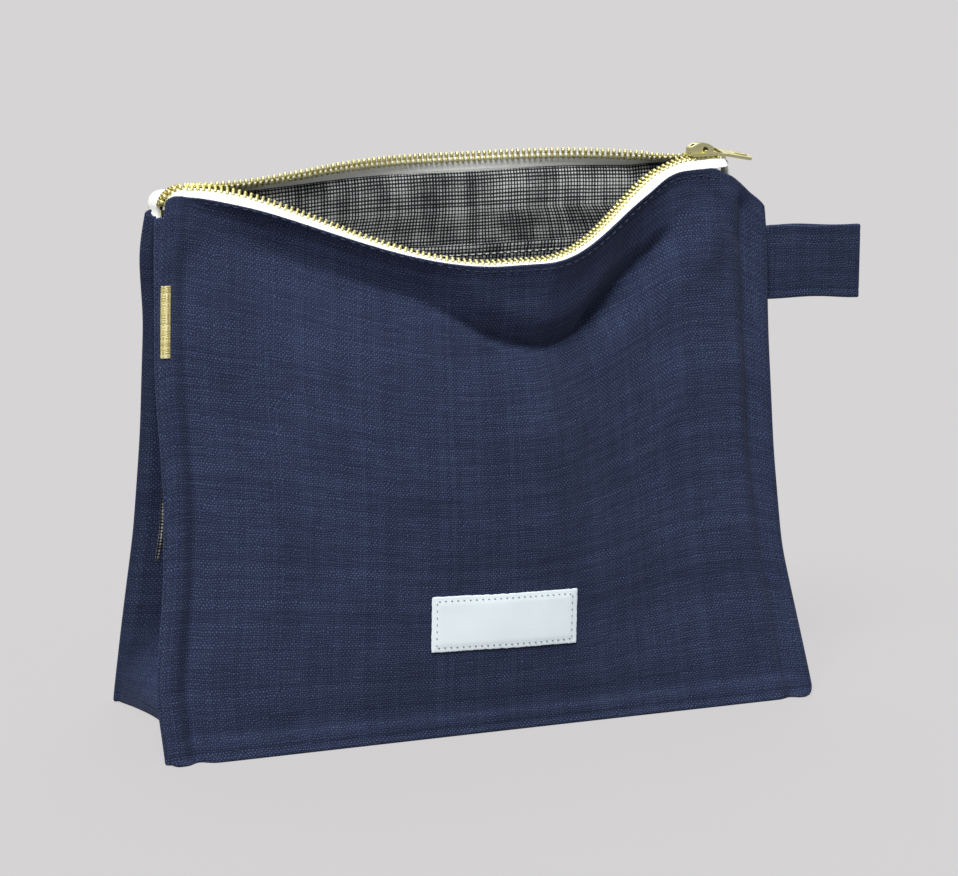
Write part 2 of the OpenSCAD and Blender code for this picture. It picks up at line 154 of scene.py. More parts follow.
def rim_at(side, x, s, t):
    """(y, z) of a point s out from the zip's centre line along a tape and t above it, as the mouth lies."""
    b = fall_at(x)
    t = t - SHED * ease((x - 66) / 14) * ease((s - 3) / 6)
    y = side * (s * np.cos(b) + t * np.sin(b))
    z = zip_z(x) - s * np.sin(b) + t * np.cos(b)
    centre, curl, feet = (FRONT_AXIS, FRONT_CURL, FRONT_REACH_X) if side == FRONT else (
        BACK_AXIS, BACK_CURL, BACK_REACH_X)
    a = -curl * opening(x, feet)
    dy, dz = y - centre[0], z - centre[1]
    return centre[0] + dy * np.cos(a) - dz * np.sin(a), centre[1] + dy * np.sin(a) + dz * np.cos(a)


def rim_point(side, x, s, t):
    x = np.asarray(x, float)
    y, z = rim_at(side, x, s, t)
    return np.stack([x + 0 * y, y, z], -1)


# X of the pouch's side outlines, by height.
FRONT_LEFT = smooth_line(
    ((0, -119), (24, -121), (55, -116), (85, -113.6), (125, -114), (150, -112), (180, -109),
     (190, -108.4)), 5)
BACK_LEFT = smooth_line(
    ((0, -118.6), (40, -115), (64, -112.6), (100, -111), (140, -110.8), (163, -113.6), (190, -110)), 5)
right_edge = smooth_line(((0, 115), (52, 106), (85, 105.2), (125, 106), (165, 108), (190, 108.2)), 5)


def left_edge(side, z):
    return FRONT_LEFT(z) if side == FRONT else BACK_LEFT(z)


def cut_of(side):
    """X of the plane at which the pieces of a rim are in two halves."""
    return FRONT_CUT if side == FRONT else BACK_CUT


def edge_half_gap(z):
    return mix(EDGE_Y, SHOULDER_Y, z / SHOULDER_Z)


def corner_inset(d, r):
    """How far a rounded corner of radius r pulls an edge in at d from its end."""
    return r - np.sqrt(np.maximum(0, r * r - np.maximum(0, r - d) ** 2))


def corner_drop(x):
    left = corner_inset(x - PANEL_LEFT, 4.6) - 1.5 * ease((-90 - x) / 12)
    slope = 0.5 * (x - 94.5 + np.sqrt((x - 94.5) ** 2 + 4))
    right = 1.2 * ease((x - 82) / 12) + slope + corner_inset(PANEL_RIGHT - x, 2.4)
    return np.where(x < 0, left, right)


FRONT_LAP = smooth_line(
    ((-108, 5.8), (-98, 7), (-88, 9.2), (-60, 9.5), (-35, 8.6), (-8, 7), (38, 7), (52, 7.8), (66, 9), (84, 9),
     (93, 7.4), (108, 6.2)), 4.0)


def lap_s(side, x):
    """How far out along the tape a panel's folded edge lies."""
    return FRONT_LAP(x) if side == FRONT else FOLD_S + 0 * x


def fold_at(side, x):
    y, z = rim_at(side, x, lap_s(side, x), 0)
    drop = corner_drop(x)
    return y + side * 0.2 * drop, z - 0.4 - drop


def panel_base(side, x, v):
    """A point of a panel's outer face at x, v of the way up. Its columns lean, so u is found by steps."""
    u = (x - PANEL_LEFT) / (PANEL_RIGHT - PANEL_LEFT)
    k = v**EDGE_TURN
    for _ in range(14):
        top_y, top_z = fold_at(side, mix(PANEL_LEFT, PANEL_RIGHT, u))
        z = v * top_z
        low, high = left_edge(side, z), right_edge(z)
        span = (1 - k) * (high - low) + k * (PANEL_RIGHT - PANEL_LEFT)
        u = (x - (1 - k) * low - k * PANEL_LEFT) / span
    bow = BELLY * np.sin(np.pi * v) * (1 - (2 * u - 1) ** 4)
    return u, np.stack([x + 0 * z, mix(side * EDGE_Y, top_y, v) + side * bow, z], -1)


def edge_x(side, v, end):
    """X of a panel's left (0) or right (1) edge at v."""
    k = v**EDGE_TURN
    x_top = mix(PANEL_LEFT, PANEL_RIGHT, end)
    z = v * fold_at(side, np.full_like(v, x_top))[1]
    low = left_edge(side, z) if end == 0 else right_edge(z)
    return mix(low, x_top, k)


# ---------------------------------------------------------------- meshes
def grid_normals(p):
    """Unit normals of a grid of points, by differences along its rows and columns."""
    n = np.cross(np.gradient(p, axis=1), np.gradient(p, axis=0))
    return n / np.maximum(np.linalg.norm(n, axis=-1, keepdims=True), 1e-9)


def facing(p, x, y):
    """A grid's normals, turned over if need be so that on average they face towards (x, y)."""
    out = grid_normals(p)
    if (out[..., 0] * x + out[..., 1] * y).mean() < 0:
        return -out
    return out


def blur(a):
    b = np.pad(a, 1, "edge")
    a = (b[1:-1, :-2] + 2 * a + b[1:-1, 2:]) / 4
    b = np.pad(a, 1, "edge")
    return (b[:-2, 1:-1] + 2 * a + b[2:, 1:-1]) / 4


def add_object(name, data):
    obj = bpy.data.objects.new(name, data)
    bpy.context.scene.collection.objects.link(obj)
    return obj


def make_mesh(name, points_mm, faces, material, flat=None):
    """A mesh object in metres. flat holds each point's place on the uncut cloth, in metres, for the weave."""
    mesh = bpy.data.meshes.new(name)
    mesh.from_pydata((np.asarray(points_mm) * MM).tolist(), [], faces)
    mesh.update()
    obj = add_object(name, mesh)
    mesh.materials.append(material)
    mesh.polygons.foreach_set("use_smooth", [True] * len(mesh.polygons))
    if flat is not None:
        attribute = mesh.attributes.new("cloth", "FLOAT_VECTOR", "POINT")
        attribute.data.foreach_set("vector", np.asarray(flat, np.float32).ravel())
    return obj


def quads(rows, cols):
    corners = [r * cols + c for r in range(rows - 1) for c in range(cols - 1)]
    return [(i, i + 1, i + cols + 1, i + cols) for i in corners]


def flat_coordinates(p):
    """The uncut cloth's own coordinates of a grid, by arc length along its middle row and each column."""
    across = np.linalg.norm(np.diff(p, axis=1), axis=-1).mean(0)
    x = np.concatenate([[0], np.cumsum(across)])
    up = np.linalg.norm(np.diff(p, axis=0), axis=-1).mean(1)
    y = np.concatenate([[0], np.cumsum(up)])
    gx, gy = np.meshgrid(x, y)
    return np.stack([gx, gy, 0 * gx], -1) * MM


def boundary(rows, cols):
    """Indices of a grid's rim, anticlockwise from its first point."""
    bottom = [(0, c) for c in range(cols)]
    right = [(r, cols - 1) for r in range(1, rows)]
    top = [(rows - 1, c) for c in range(cols - 2, -1, -1)]
    left = [(r, 0) for r in range(rows - 2, 0, -1)]
    return bottom + right + top + left


def slab(name, outer, inward, thickness, material, arc):
    """A closed sheet of cloth: an outer grid, an inner one thickness away along inward, and a rim rounded in
    arc steps. inward and thickness may vary over the grid."""
    rows, cols = outer.shape[:2]
    thick = np.broadcast_to(np.asarray(thickness, float), (rows, cols))
    inner = outer + inward * thick[..., None]
    flat = flat_coordinates(outer).reshape(-1, 3)
    rim = boundary(rows, cols)
    count = len(rim)
    rim_r, rim_c = np.array(rim).T
    mid = (outer + inner)[rim_r, rim_c] / 2
    half = thick[rim_r, rim_c][:, None] / 2
    n = -inward[rim_r, rim_c]
    along = np.roll(mid, -1, 0) - np.roll(mid, 1, 0)
    out = np.cross(along, n)
    out /= np.maximum(np.linalg.norm(out, axis=1, keepdims=True), 1e-9)
    if ((mid - mid.mean(0)) * out).sum() < 0:
        out = -out
    angles = [math.pi * k / arc for k in range(1, arc)]
    rings = [mid + half * (n * math.cos(a) + out * math.sin(a)) for a in angles]
    points = np.concatenate([outer.reshape(-1, 3), inner.reshape(-1, 3), *rings])
    grid = rows * cols
    faces = quads(rows, cols)
    faces += [tuple(reversed([i + grid for i in f])) for f in quads(rows, cols)]
    rim_index = [r * cols + c for r, c in rim]
    chain = [rim_index]
    chain += [[2 * grid + k * count + i for i in range(count)] for k in range(arc - 1)]
    chain += [[grid + i for i in rim_index]]
    for a, b in zip(chain, chain[1:]):
        faces += [(a[i], b[i], b[(i + 1) % count], a[(i + 1) % count]) for i in range(count)]
    sideways = np.where(rim_c == 0, -1, np.where(rim_c == cols - 1, 1, 0))
    upward = np.where(rim_r == 0, -1, np.where(rim_r == rows - 1, 1, 0))
    away = np.stack([sideways, upward, 0 * upward], -1) * half * math.pi / arc * MM
    round_rim = [flat[rim_index] + away * k for k in range(1, arc)]
    obj = make_mesh(name, points, faces, material, np.concatenate([flat, flat, *round_rim]))
    fix_winding(obj)
    return obj


def fix_winding(obj):
    """Turns every face outwards if the closed mesh came out inside out."""
    mesh = obj.data
    volume = 0.0
    for p in mesh.polygons:
        a = mesh.vertices[p.vertices[0]].co
        for i in range(1, len(p.vertices) - 1):
            b, c = mesh.vertices[p.vertices[i]].co, mesh.vertices[p.vertices[i + 1]].co
            volume += a.dot(b.cross(c))
    if volume < 0:
        mesh.flip_normals()


def read_vectors(data, key, count):
    values = np.zeros(count * 3, np.float32)
    data.foreach_get(key, values)
    return values.reshape(-1, 3)


def vertex_normals(obj):
    return read_vectors(obj.data.vertices, "normal", len(obj.data.vertices))


def flat_places(obj):
    """Each vertex's place on the uncut cloth, in metres."""
    return read_vectors(obj.data.attributes["cloth"].data, "vector", len(obj.data.vertices))


def cap_of(faces):
    """The face that closes a mesh with one open edge loop."""
    sides = {(a, b) for f in faces for a, b in zip(f, f[1:] + f[:1])}
    following = {b: a for a, b in sides if (b, a) not in sides}
    start = min(following)
    loop = [start]
    while following[loop[-1]] != start:
        loop.append(following[loop[-1]])
    return tuple(loop)


def halves(obj, cut, names):
    """Splits a mesh at the plane x = cut, closing each half and keeping the shading of the whole."""
    made = []
    mesh = obj.data
    co = np.array([v.co for v in mesh.vertices])
    normals = vertex_normals(obj)
    cloth = flat_places(obj)
    faces = [tuple(p.vertices) for p in mesh.polygons]
    mid_x = [sum(co[i][0] for i in f) / len(f) for f in faces]
    for name, left in zip(names, (True, False)):
        mine = [f for f, x in zip(faces, mid_x) if (x < cut * MM) == left]
        mine.append(cap_of(mine))
        used = sorted({i for f in mine for i in f})
        place = {i: k for k, i in enumerate(used)}
        part = make_mesh(
            name, co[used] / MM, [tuple(place[i] for i in f) for f in mine], mesh.materials[0], cloth[used])
        part.data.normals_split_custom_set_from_vertices(normals[used].tolist())
        made.append(part)
    bpy.data.objects.remove(obj)
    return made


def hold_half(obj, node):
    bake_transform(obj)
    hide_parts(node)


def split_and_hold(obj, side, names, node):
    """Cuts a piece that crosses a rim's middle into two halves at that rim's cut, and hides the CAD node they
    stand for.
    """
    made = halves(obj, cut_of(side), names)
    for part, left in zip(made, (True, False)):
        hold_half(part, node)
    return made


def place(obj, body, slot, node):
    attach(obj, body)
    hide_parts(node)
    return obj


# ---------------------------------------------------------------- materials
class Nodes:
    """A few short ways to build the nodes of something that has a node tree."""

    def __init__(self, owner):
        self.tree = owner.node_tree

    def node(self, kind, **settings):
        made = self.tree.nodes.new(kind)
        for key, value in settings.items():
            setattr(made, key, value)
        return made

    def link(self, source, target):
        self.tree.links.new(source, target)

    def feed(self, value, socket):
        if isinstance(value, bpy.types.NodeSocket):
            self.link(value, socket)
        else:
            socket.default_value = value

    def math(self, operation, a, b=0.0, c=0.0):
        made = self.node("ShaderNodeMath", operation=operation)
        for value, socket in zip((a, b, c), made.inputs):
            self.feed(value, socket)
        return made.outputs[0]

    def add(self, a, b):
        return self.math("ADD", a, b)

    def sub(self, a, b):
        return self.math("SUBTRACT", a, b)

    def mul(self, a, b):
        return self.math("MULTIPLY", a, b)

    def mul_add(self, a, b, c):
        return self.math("MULTIPLY_ADD", a, b, c)

    def cloth(self):
        """The place on the uncut cloth, in metres."""
        return self.node("ShaderNodeAttribute", attribute_name="cloth").outputs["Vector"]

    def objects(self):
        return self.node("ShaderNodeTexCoord").outputs["Object"]

    def scaled(self, vector, scale):
        made = self.node("ShaderNodeVectorMath", operation="MULTIPLY")
        self.link(vector, made.inputs[0])
        made.inputs[1].default_value = scale
        return made.outputs[0]

    def parts(self, vector):
        made = self.node("ShaderNodeSeparateXYZ")
        self.link(vector, made.inputs[0])
        return made.outputs

    def noise(self, vector, scale, detail=2.0, rough=0.5):
        made = self.node("ShaderNodeTexNoise")
        self.link(vector, made.inputs["Vector"])
        made.inputs["Scale"].default_value = scale
        made.inputs["Detail"].default_value = detail
        made.inputs["Roughness"].default_value = rough
        return made.outputs["Fac"]

    def white(self, w):
        made = self.node("ShaderNodeTexWhiteNoise", noise_dimensions="1D")
        self.feed(w, made.inputs["W"])
        return made.outputs["Value"]

    def ramp(self, fac, stops):
        made = self.node("ShaderNodeValToRGB")
        self.link(fac, made.inputs[0])
        made.color_ramp.elements[0].position = stops[0][0]
        made.color_ramp.elements[0].color = (*stops[0][1], 1)
        made.color_ramp.elements[1].position = stops[-1][0]
        made.color_ramp.elements[1].color = (*stops[-1][1], 1)
        for position, colour in stops[1:-1]:
            made.color_ramp.elements.new(position).color = (*colour, 1)
        return made.outputs[0]

    def span(self, fac, low, high):
        """Maps 0 to 1 onto low to high."""
        return self.math("MULTIPLY_ADD", fac, high - low, low)


class Material(Nodes):
    """A new material and its nodes."""

    def __init__(self, name):
        self.material = bpy.data.materials.new(name)
        self.material.use_nodes = True
        super().__init__(self.material)
        self.bsdf = self.tree.nodes["Principled BSDF"]

    def bump(self, height, strength, distance_mm):
        made = self.node("ShaderNodeBump")
        made.inputs["Strength"].default_value = strength
        made.inputs["Distance"].default_value = distance_mm * MM
        self.link(height, made.inputs["Height"])
        self.link(made.outputs[0], self.bsdf.inputs["Normal"])

    def set(self, **values):
        for key, value in values.items():
            self.feed(value, self.bsdf.inputs[key.replace("_", " ")])


def linear(r, g, b):
    """An sRGB colour of 0 to 255 as linear values."""
    return tuple((c / 255 / 12.92) if c <= 10 else ((c / 255 + 0.055) / 1.055) ** 2.4 for c in (r, g, b))


def shade(colour, k):
    return tuple(c * k for c in colour)


def weave(m, pitch_x, pitch_y, wander=0.0):
    """A plain weave on the flat cloth: its height, and a random tone of each warp and weft thread."""
    x, y, _ = m.parts(m.cloth())
    sway = m.sub(m.noise(m.cloth(), 260.0, 2.0, 0.5), 0.5)
    tx = m.mul_add(sway, wander, m.math("DIVIDE", x, pitch_x * MM))
    ty = m.mul_add(sway, -wander, m.math("DIVIDE", y, pitch_y * MM))
    warp = m.math("ABSOLUTE", m.math("SINE", m.mul(tx, math.pi)))
    weft = m.math("ABSOLUTE", m.math("SINE", m.mul(ty, math.pi)))
    column = m.math("FLOOR", tx)
    row = m.math("FLOOR", ty)
    over = m.math("FLOORED_MODULO", m.add(column, row), 2.0)
    warp_top = m.mul(m.math("POWER", warp, 0.7), m.span(weft, 0.3, 1.0))
    weft_top = m.mul(m.math("POWER", weft, 0.7), m.span(warp, 0.25, 0.6))
    picked = m.mul(over, warp_top)
    height = m.mul_add(m.sub(1.0, over), weft_top, picked)
    tone_warp = m.white(column)
    tone_weft = m.white(m.add(row, 0.37))
    tone = m.mul_add(m.sub(tone_weft, tone_warp), over, tone_warp)
    return height, tone


def streaks(m, scale, seed):
    """Noise drawn out along the cloth's threads, for slubs."""
    moved = m.node("ShaderNodeVectorMath", operation="ADD")
    m.link(m.scaled(m.cloth(), scale), moved.inputs[0])
    moved.inputs[1].default_value = (seed, seed * 0.7, seed * 1.3)
    return m.noise(moved.outputs[0], 1.0, 3.0, 0.6)


def canvas_material():
    """Coarse washed navy canvas with slubs, pale fibres and worn edges."""
    m = Material("navy_canvas")
    height, tone = weave(m, 0.62, 0.8, 2.6)
    cross = streaks(m, (110, 1500, 0), 3.0)
    upright = streaks(m, (1500, 110, 0), 11.0)
    cloud = m.noise(m.cloth(), 55.0, 4.0, 0.6)
    fuzz = m.noise(m.cloth(), 1900.0, 2.0, 0.7)
    total = m.mul_add(height, 0.40, -0.03)
    for source, share in ((tone, 0.12), (cross, 0.26), (upright, 0.10), (cloud, 0.18), (fuzz, 0.20)):
        total = m.mul_add(source, share, total)
    edge = m.node("ShaderNodeNewGeometry").outputs["Pointiness"]
    worn = m.mul(m.sub(edge, 0.52), 2.0)
    worn = m.math("MAXIMUM", worn, 0.0)
    total = m.add(total, m.math("MINIMUM", worn, 0.14))
    dark, middle, light = linear(15, 19, 34), linear(44, 52, 78), linear(92, 107, 142)
    colour = m.ramp(total, ((0.24, dark), (0.60, middle), (1.0, light)))
    m.set(Base_Color=colour, Roughness=m.span(cloud, 0.82, 0.97), Specular_IOR_Level=0.12)
    m.set(Sheen_Weight=0.04, Sheen_Roughness=0.4)
    m.bump(m.mul_add(cross, 0.5, m.mul_add(fuzz, 0.5, height)), 0.8, 0.2)
    return m.material


def lining_material():
    """Black and white mini check: pairs of dark threads over a pale ground, with uneven weight."""
    m = Material("check_lining")
    x, y, _ = m.parts(m.cloth())
    wobble = m.mul(m.sub(streaks(m, (60, 60, 0), 5.0), 0.5), 0.55)
    tx = m.add(m.math("DIVIDE", x, 1.25 * MM), wobble)
    ty = m.add(m.math("DIVIDE", y, 1.25 * MM), wobble)
    lines = []
    for t, seed in ((tx, 0.11), (ty, 0.53)):
        cell = m.math("FLOOR", t)
        weight = m.span(m.white(m.add(cell, seed)), 0.36, 0.74)
        at = m.math("ABSOLUTE", m.sub(m.math("FRACT", t), 0.5))
        gap = m.sub(1.0, weight)
        edge = m.mul(m.sub(m.mul(at, 2.0), gap), 5.0)
        lines.append(m.math("MINIMUM", m.math("MAXIMUM", edge, 0.0), 1.0))
    both = m.add(lines[0], lines[1])
    dark = m.mul(both, 0.5)
    fibre = m.noise(m.cloth(), 1500.0, 2.0, 0.6)
    cloud = m.noise(m.cloth(), 70.0, 3.0, 0.5)
    dark = m.mul_add(m.sub(fibre, 0.5), 0.5, dark)
    dark = m.mul_add(m.sub(cloud, 0.42), 0.9, dark)
    pale, middle, deep = linear(206, 208, 206), linear(78, 81, 85), linear(14, 15, 19)
    colour = m.ramp(dark, ((0.0, pale), (0.4, middle), (0.8, deep)))
    m.set(Base_Color=colour, Roughness=m.span(fibre, 0.75, 0.95), Specular_IOR_Level=0.2)
    m.set(Sheen_Weight=0.08)
    m.bump(m.mul_add(fibre, 0.5, both), 0.4, 0.12)
    return m.material


def tape_material():
    """White cotton tape with a fine plain weave."""
    m = Material("white_tape")
    height, tone = weave(m, 0.42, 0.36)
    cloud = m.noise(m.cloth(), 160.0, 3.0, 0.6)
    total = m.mul_add(tone, 0.15, m.mul(cloud, 0.5))
    total = m.mul_add(height, 0.35, total)
    colour = m.ramp(total, ((0.15, linear(232, 234, 230)), (0.75, linear(250, 251, 248))))
    m.set(Base_Color=colour, Roughness=m.span(cloud, 0.7, 0.9), Specular_IOR_Level=0.25, Sheen_Weight=0.1)
    m.bump(height, 0.5, 0.08)
    return m.material


def brass_material(name, light, dark, rough):
    """Pale brass with darker recesses, brighter edges and fine scratches."""
    m = Material(name)
    at = m.objects()
    cloud = m.noise(at, 420.0, 4.0, 0.6)
    scratch = m.noise(m.scaled(at, (900, 5200, 5200)), 1.0, 2.0, 0.6)
    edge = m.node("ShaderNodeNewGeometry").outputs["Pointiness"]
    lift = m.mul(m.sub(edge, 0.5), 3.0)
    total = m.mul_add(cloud, 0.5, m.add(m.mul(scratch, 0.15), lift))
    colour = m.ramp(total, ((0.1, dark), (0.55, light)))
    m.set(Base_Color=colour, Metallic=1.0, Roughness=m.span(cloud, rough, rough + 0.22))
    m.bump(m.mul_add(scratch, 0.3, cloud), 0.25, 0.05)
    return m.material


def thread_material(name, colour):
    """Twisted thread: its strands run round each stitch."""
    m = Material(name)
    at = m.objects()
    twist = m.noise(m.scaled(at, (2600, 2600, 2600)), 1.0, 2.0, 0.6)
    m.set(Base_Color=m.ramp(twist, ((0.2, shade(colour, 0.7)), (0.8, shade(colour, 1.25)))))
    m.set(Roughness=m.span(twist, 0.6, 0.85), Sheen_Weight=0.1)
    m.bump(twist, 0.5, 0.06)
    return m.material


def gold_material():
    """Woven metallic ribbon: flat yarns that each catch the light their own way."""
    m = Material("gold_ribbon")
    height, tone = weave(m, 0.55, 0.4)
    fleck = m.noise(m.cloth(), 2600.0, 2.0, 0.7)
    total = m.mul_add(fleck, 0.6, m.mul(tone, 0.4))
    deep, middle, bright = linear(140, 122, 56), linear(220, 206, 128), linear(253, 249, 210)
    colour = m.ramp(total, ((0.25, deep), (0.5, middle), (0.72, bright)))
    m.set(Base_Color=colour, Metallic=0.5, Roughness=m.span(fleck, 0.3, 0.6))
    m.bump(m.mul_add(fleck, 0.8, height), 0.8, 0.12)
    return m.material


def label_material():
    """Pale satin label with a diagonal rib."""
    m = Material("label_satin")
    x, y, _ = m.parts(m.cloth())
    across = m.add(x, m.mul(y, 1.6))
    rib = m.math("SINE", m.mul(across, 2 * math.pi / (0.5 * MM)))
    grain = m.noise(m.cloth(), 1400.0, 2.0, 0.6)
    cloud = m.noise(m.cloth(), 90.0, 2.0, 0.5)
    total = m.mul_add(grain, 0.4, m.mul(cloud, 0.5))
    total = m.mul_add(rib, 0.10, total)
    colour = m.ramp(total, ((0.1, linear(228, 242, 249)), (0.7, linear(243, 252, 255))))
    m.set(Base_Color=colour, Roughness=m.span(grain, 0.45, 0.65), Specular_IOR_Level=0.4, Sheen_Weight=0.15)
    m.bump(m.mul_add(grain, 0.6, rib), 0.25, 0.05)
    return m.material


def steel_material():
    """Grey spring steel with a rolled grain."""
    m = Material("spring_steel")
    grain = m.noise(m.scaled(m.objects(), (400, 4000, 4000)), 1.0, 3.0, 0.6)
    m.set(Base_Color=m.ramp(grain, ((0.2, linear(120, 122, 126)), (0.8, linear(190, 192, 196)))))
    m.set(Metallic=1.0, Roughness=m.span(grain, 0.3, 0.5))
    m.bump(grain, 0.3, 0.03)
    return m.material


CANVAS = canvas_material()
LINING = lining_material()
TAPE = tape_material()
TEETH_BRASS = brass_material("teeth_brass", linear(246, 238, 170), linear(186, 172, 102), 0.32)
SLIDER_BRASS = brass_material("slider_brass", linear(248, 242, 184), linear(188, 174, 106), 0.2)
NAVY_THREAD = thread_material("navy_thread", linear(48, 57, 84))
LIGHT_THREAD = thread_material("light_thread", linear(208, 212, 212))
LABEL_THREAD = thread_material("label_thread", linear(120, 134, 152))
GOLD = gold_material()
LABEL = label_material()
STEEL = steel_material()


# ---------------------------------------------------------------- canvas panels
def bell(d, at, width):
    return np.exp(-(((d - at) / width) ** 2))


# The crease under the dropped front rim, by x: its height, depth, crispness and softness.
SMILE = smooth_line(
    ((-106, 176), (-90, 171), (-70, 162), (-50, 154), (-30, 148), (-18, 142), (-6, 135), (6, 131),
     (18, 129.5), (30, 132), (40, 138), (50, 146), (60, 155), (70, 164), (82, 174), (106, 182)), 4)
SMILE_DEPTH = smooth_line(
    ((-106, 0), (-98, 1.2), (-86, 5), (-70, 8), (-25, 8.6), (0, 9.2), (30, 9.2), (48, 8), (62, 5.6),
     (76, 2.4), (90, 0)), 4)
SMILE_CRISP = smooth_line(
    ((-60, 0), (-30, 0.3), (-8, 0.9), (6, 1), (34, 1), (50, 0.6), (66, 0.2), (82, 0)), 5)
SMILE_SOFT = smooth_line(
    ((-104, 6), (-60, 4.5), (-34, 3.6), (-12, 2.2), (6, 1.4), (34, 1.4), (50, 3), (70, 6)), 5)


def front_folds(x, z, top_z):
    """Outward offset, in millimetres, of the folds under the dropped front rim: the cloth falls back from the
    rim to a crease and comes out again below it."""
    step = 1.0
    slope = (SMILE(x + step) - SMILE(x - step)) / (2 * step)
    q = (z - SMILE(x)) / np.sqrt(1 + slope**2)
    room = np.maximum(top_z - SMILE(x), 6) / np.sqrt(1 + slope**2)
    soft = SMILE_SOFT(x)
    bent = np.sqrt(q * q + soft * soft) - soft
    above = 1 - np.clip(bent / room, 0, 1) ** 0.85
    below = np.exp(-bent / 21)
    lip = -SMILE_DEPTH(x) * np.where(q > 0, above, below)
    lip = lip - 1.5 * bell(q, -0.4, 1.5) * SMILE_CRISP(x)
    pillow = 1.5 * bell(q - 9, 0, 6) * SMILE_DEPTH(x) / 7 * ease((x + 20) / 20) * (1 - ease((x - 40) / 16))
    diagonal = z - (138 + 0.72 * (x - 38))
    valley = -3.0 * bell(diagonal, 0, 4.5) * ease((x - 30) / 12) * (1 - ease((x - 66) / 10))
    swell = 1.4 * bell(diagonal, -15, 9) * ease((x - 34) / 14) * (1 - ease((x - 84) / 10))
    return lip + pillow + valley + swell


def seam_band(d, depth, at=10, width=3.2):
    """The stitched-down allowance along a seam, d in from the edge: a raised band and a valley inside it."""
    return 0.5 * (1 - ease((d - at + 4.5) / 2.5)) - depth * bell(d, at, width)


def ripple(x, z, seed):
    """Slow unevenness of washed cloth."""
    rng = np.random.default_rng(seed)
    total = 0 * x
    for _ in range(14):
        angle = rng.uniform(0, math.pi)
        length = rng.uniform(14, 60)
        phase = rng.uniform(0, 2 * math.pi)
        wave = (x * math.cos(angle) + z * math.sin(angle)) * 2 * math.pi / length + phase
        total = total + np.sin(wave) * length / 400
    return total


def halved_columns(side, low, high, cols_left, cols_right):
    """X of each grid point: evenly from the left edge to the cut and from the cut to the right edge."""
    left = mix(low, cut_of(side), np.linspace(0, 1, cols_left)[None, :])
    right = mix(cut_of(side), high, np.linspace(0, 1, cols_right)[None, 1:])
    return np.concatenate([left, right], 1)


PANEL_INSET = 1.1  # the grid's edge lies this far in, and the round rim fills it


def panel_grid(side):
    """The outer face of a panel, with its seam bands, folds and ripples, and its thickness."""
    v = np.concatenate([[0.0, 0.003, 0.007], np.linspace(0.012, 0.985, 190), [0.99, 0.995, 1.0]])
    left = edge_x(side, v, 0)[:, None] + PANEL_INSET
    right = edge_x(side, v, 1)[:, None] - PANEL_INSET
    x = halved_columns(side, left, right, 120, 110)
    low, high = x[:, :1] - PANEL_INSET, x[:, -1:] + PANEL_INSET
    vv = np.broadcast_to(v[:, None], x.shape)
    u, p = panel_base(side, x, vv)
    z = p[..., 2]
    top_z = fold_at(side, mix(PANEL_LEFT, PANEL_RIGHT, u))[1]
    pull = corner_inset(z, 2.6) + 0 * x
    share = (x - low) / (high - low)
    p[..., 0] += pull * (1 - 2 * share) * np.abs(1 - 2 * share) ** 12
    # The round rim adds half the thickness at the top and bottom.
    p[..., 2] = 0.9 + z * (top_z - 1.4) / top_z
    d_left, d_right, d_low, d_top = x - low, high - x, z, top_z - z
    lift = seam_band(d_left, mix(3.0, 1.7, ease((z - 90) / 50)) * (1 - ease((z - 158) / 14)), 9.8, 3.4)
    lift = lift + seam_band(d_right, mix(1.8, 3.2, ease((z - 50) / 60)) * (1 - ease((z - 170) / 8)), 8.0, 2.6)
    lift = lift + seam_band(d_low, 0.6) * ease(d_left / 10) * ease(d_right / 10)
    lift = lift - 0.4 * bell(d_low, 2.6, 0.7)
    calm = ease(d_top / 14) * ease(d_low / 14) * ease(d_left / 14) * ease(d_right / 14)
    lift = lift + ripple(x, z, 4 if side == FRONT else 9) * calm
    if side == FRONT:
        lift = lift + front_folds(x, z, top_z) * ease(d_left / 12) * ease(d_right / 12)
        pinch = bell(x - 0.62 * (SHOULDER_Z - z), 84, 3.2) * ease((z - 150) / 12) * ease(d_top / 5)
        lift = lift - 1.1 * pinch
    else:
        sag = bell(z, 128, 26) * (1 - ((x - 2) / 112) ** 2)
        lift = lift - 2.0 * np.maximum(sag, 0)
    out = facing(p, 0, side)
    p = p + out * blur(lift)[..., None]
    here = p[..., 0]
    lap = ease(1 - d_top / 3.6) * ease((here + 104.5) / 7) * ease((94 - here) / 7)
    p = mix(p, rim_point(side, here, lap_s(side, here) - 0.1, 0.3), lap[..., None])
    side_hem = (1 - ease((np.minimum(d_left, d_right) - 4) / 4)) * ease((d_top - 4) / 8)
    thick = 0.75 + 0.45 * ease(d_top / 4) + 1.0 * side_hem
    thick = np.minimum(thick + 0.9 * (1 - ease((d_low - 3) / 4)), 2.2)
    return p, -out, thick


def make_panel(side, names, node):
    p, inward, thick = panel_grid(side)
    obj = slab(node + "_whole", p, inward, thick, CANVAS, arc=6)
    return split_and_hold(obj, side, names, node)


front_panels = make_panel(FRONT, ("front_canvas_left", "front_canvas_right"), "front_panel")
back_panels = make_panel(BACK, ("back_canvas_left", "back_canvas_right"), "back_panel")


# ---------------------------------------------------------------- gussets and base
FOOT_HOLLOW = 8.5
FOLD_DEEP = 44
TUCKED = 1.8  # the right gusset lies this much further in

# The roll of cloth beside each seam: distance in from the seam, and how far out it stands.
ROLL_D = np.array([1.1, 1.3, 1.5, 1.8, 2.1, 2.4, 2.8, 3.2, 3.6, 4.0, 4.6])
ROLL_OUT = np.array([-2.4, -1.7, -0.8, 0.1, 0.65, 0.9, 0.8, 0.4, -0.2, -0.7, -1.0])


def fold_depth(z):
    opened = FOOT_HOLLOW + (FOLD_DEEP - FOOT_HOLLOW) * ease((z - 3) / 30)
    return opened * (1 - 0.5 * ease((z - 92) / 45)) * (1 - 0.5 * ease((z - 155) / 20))


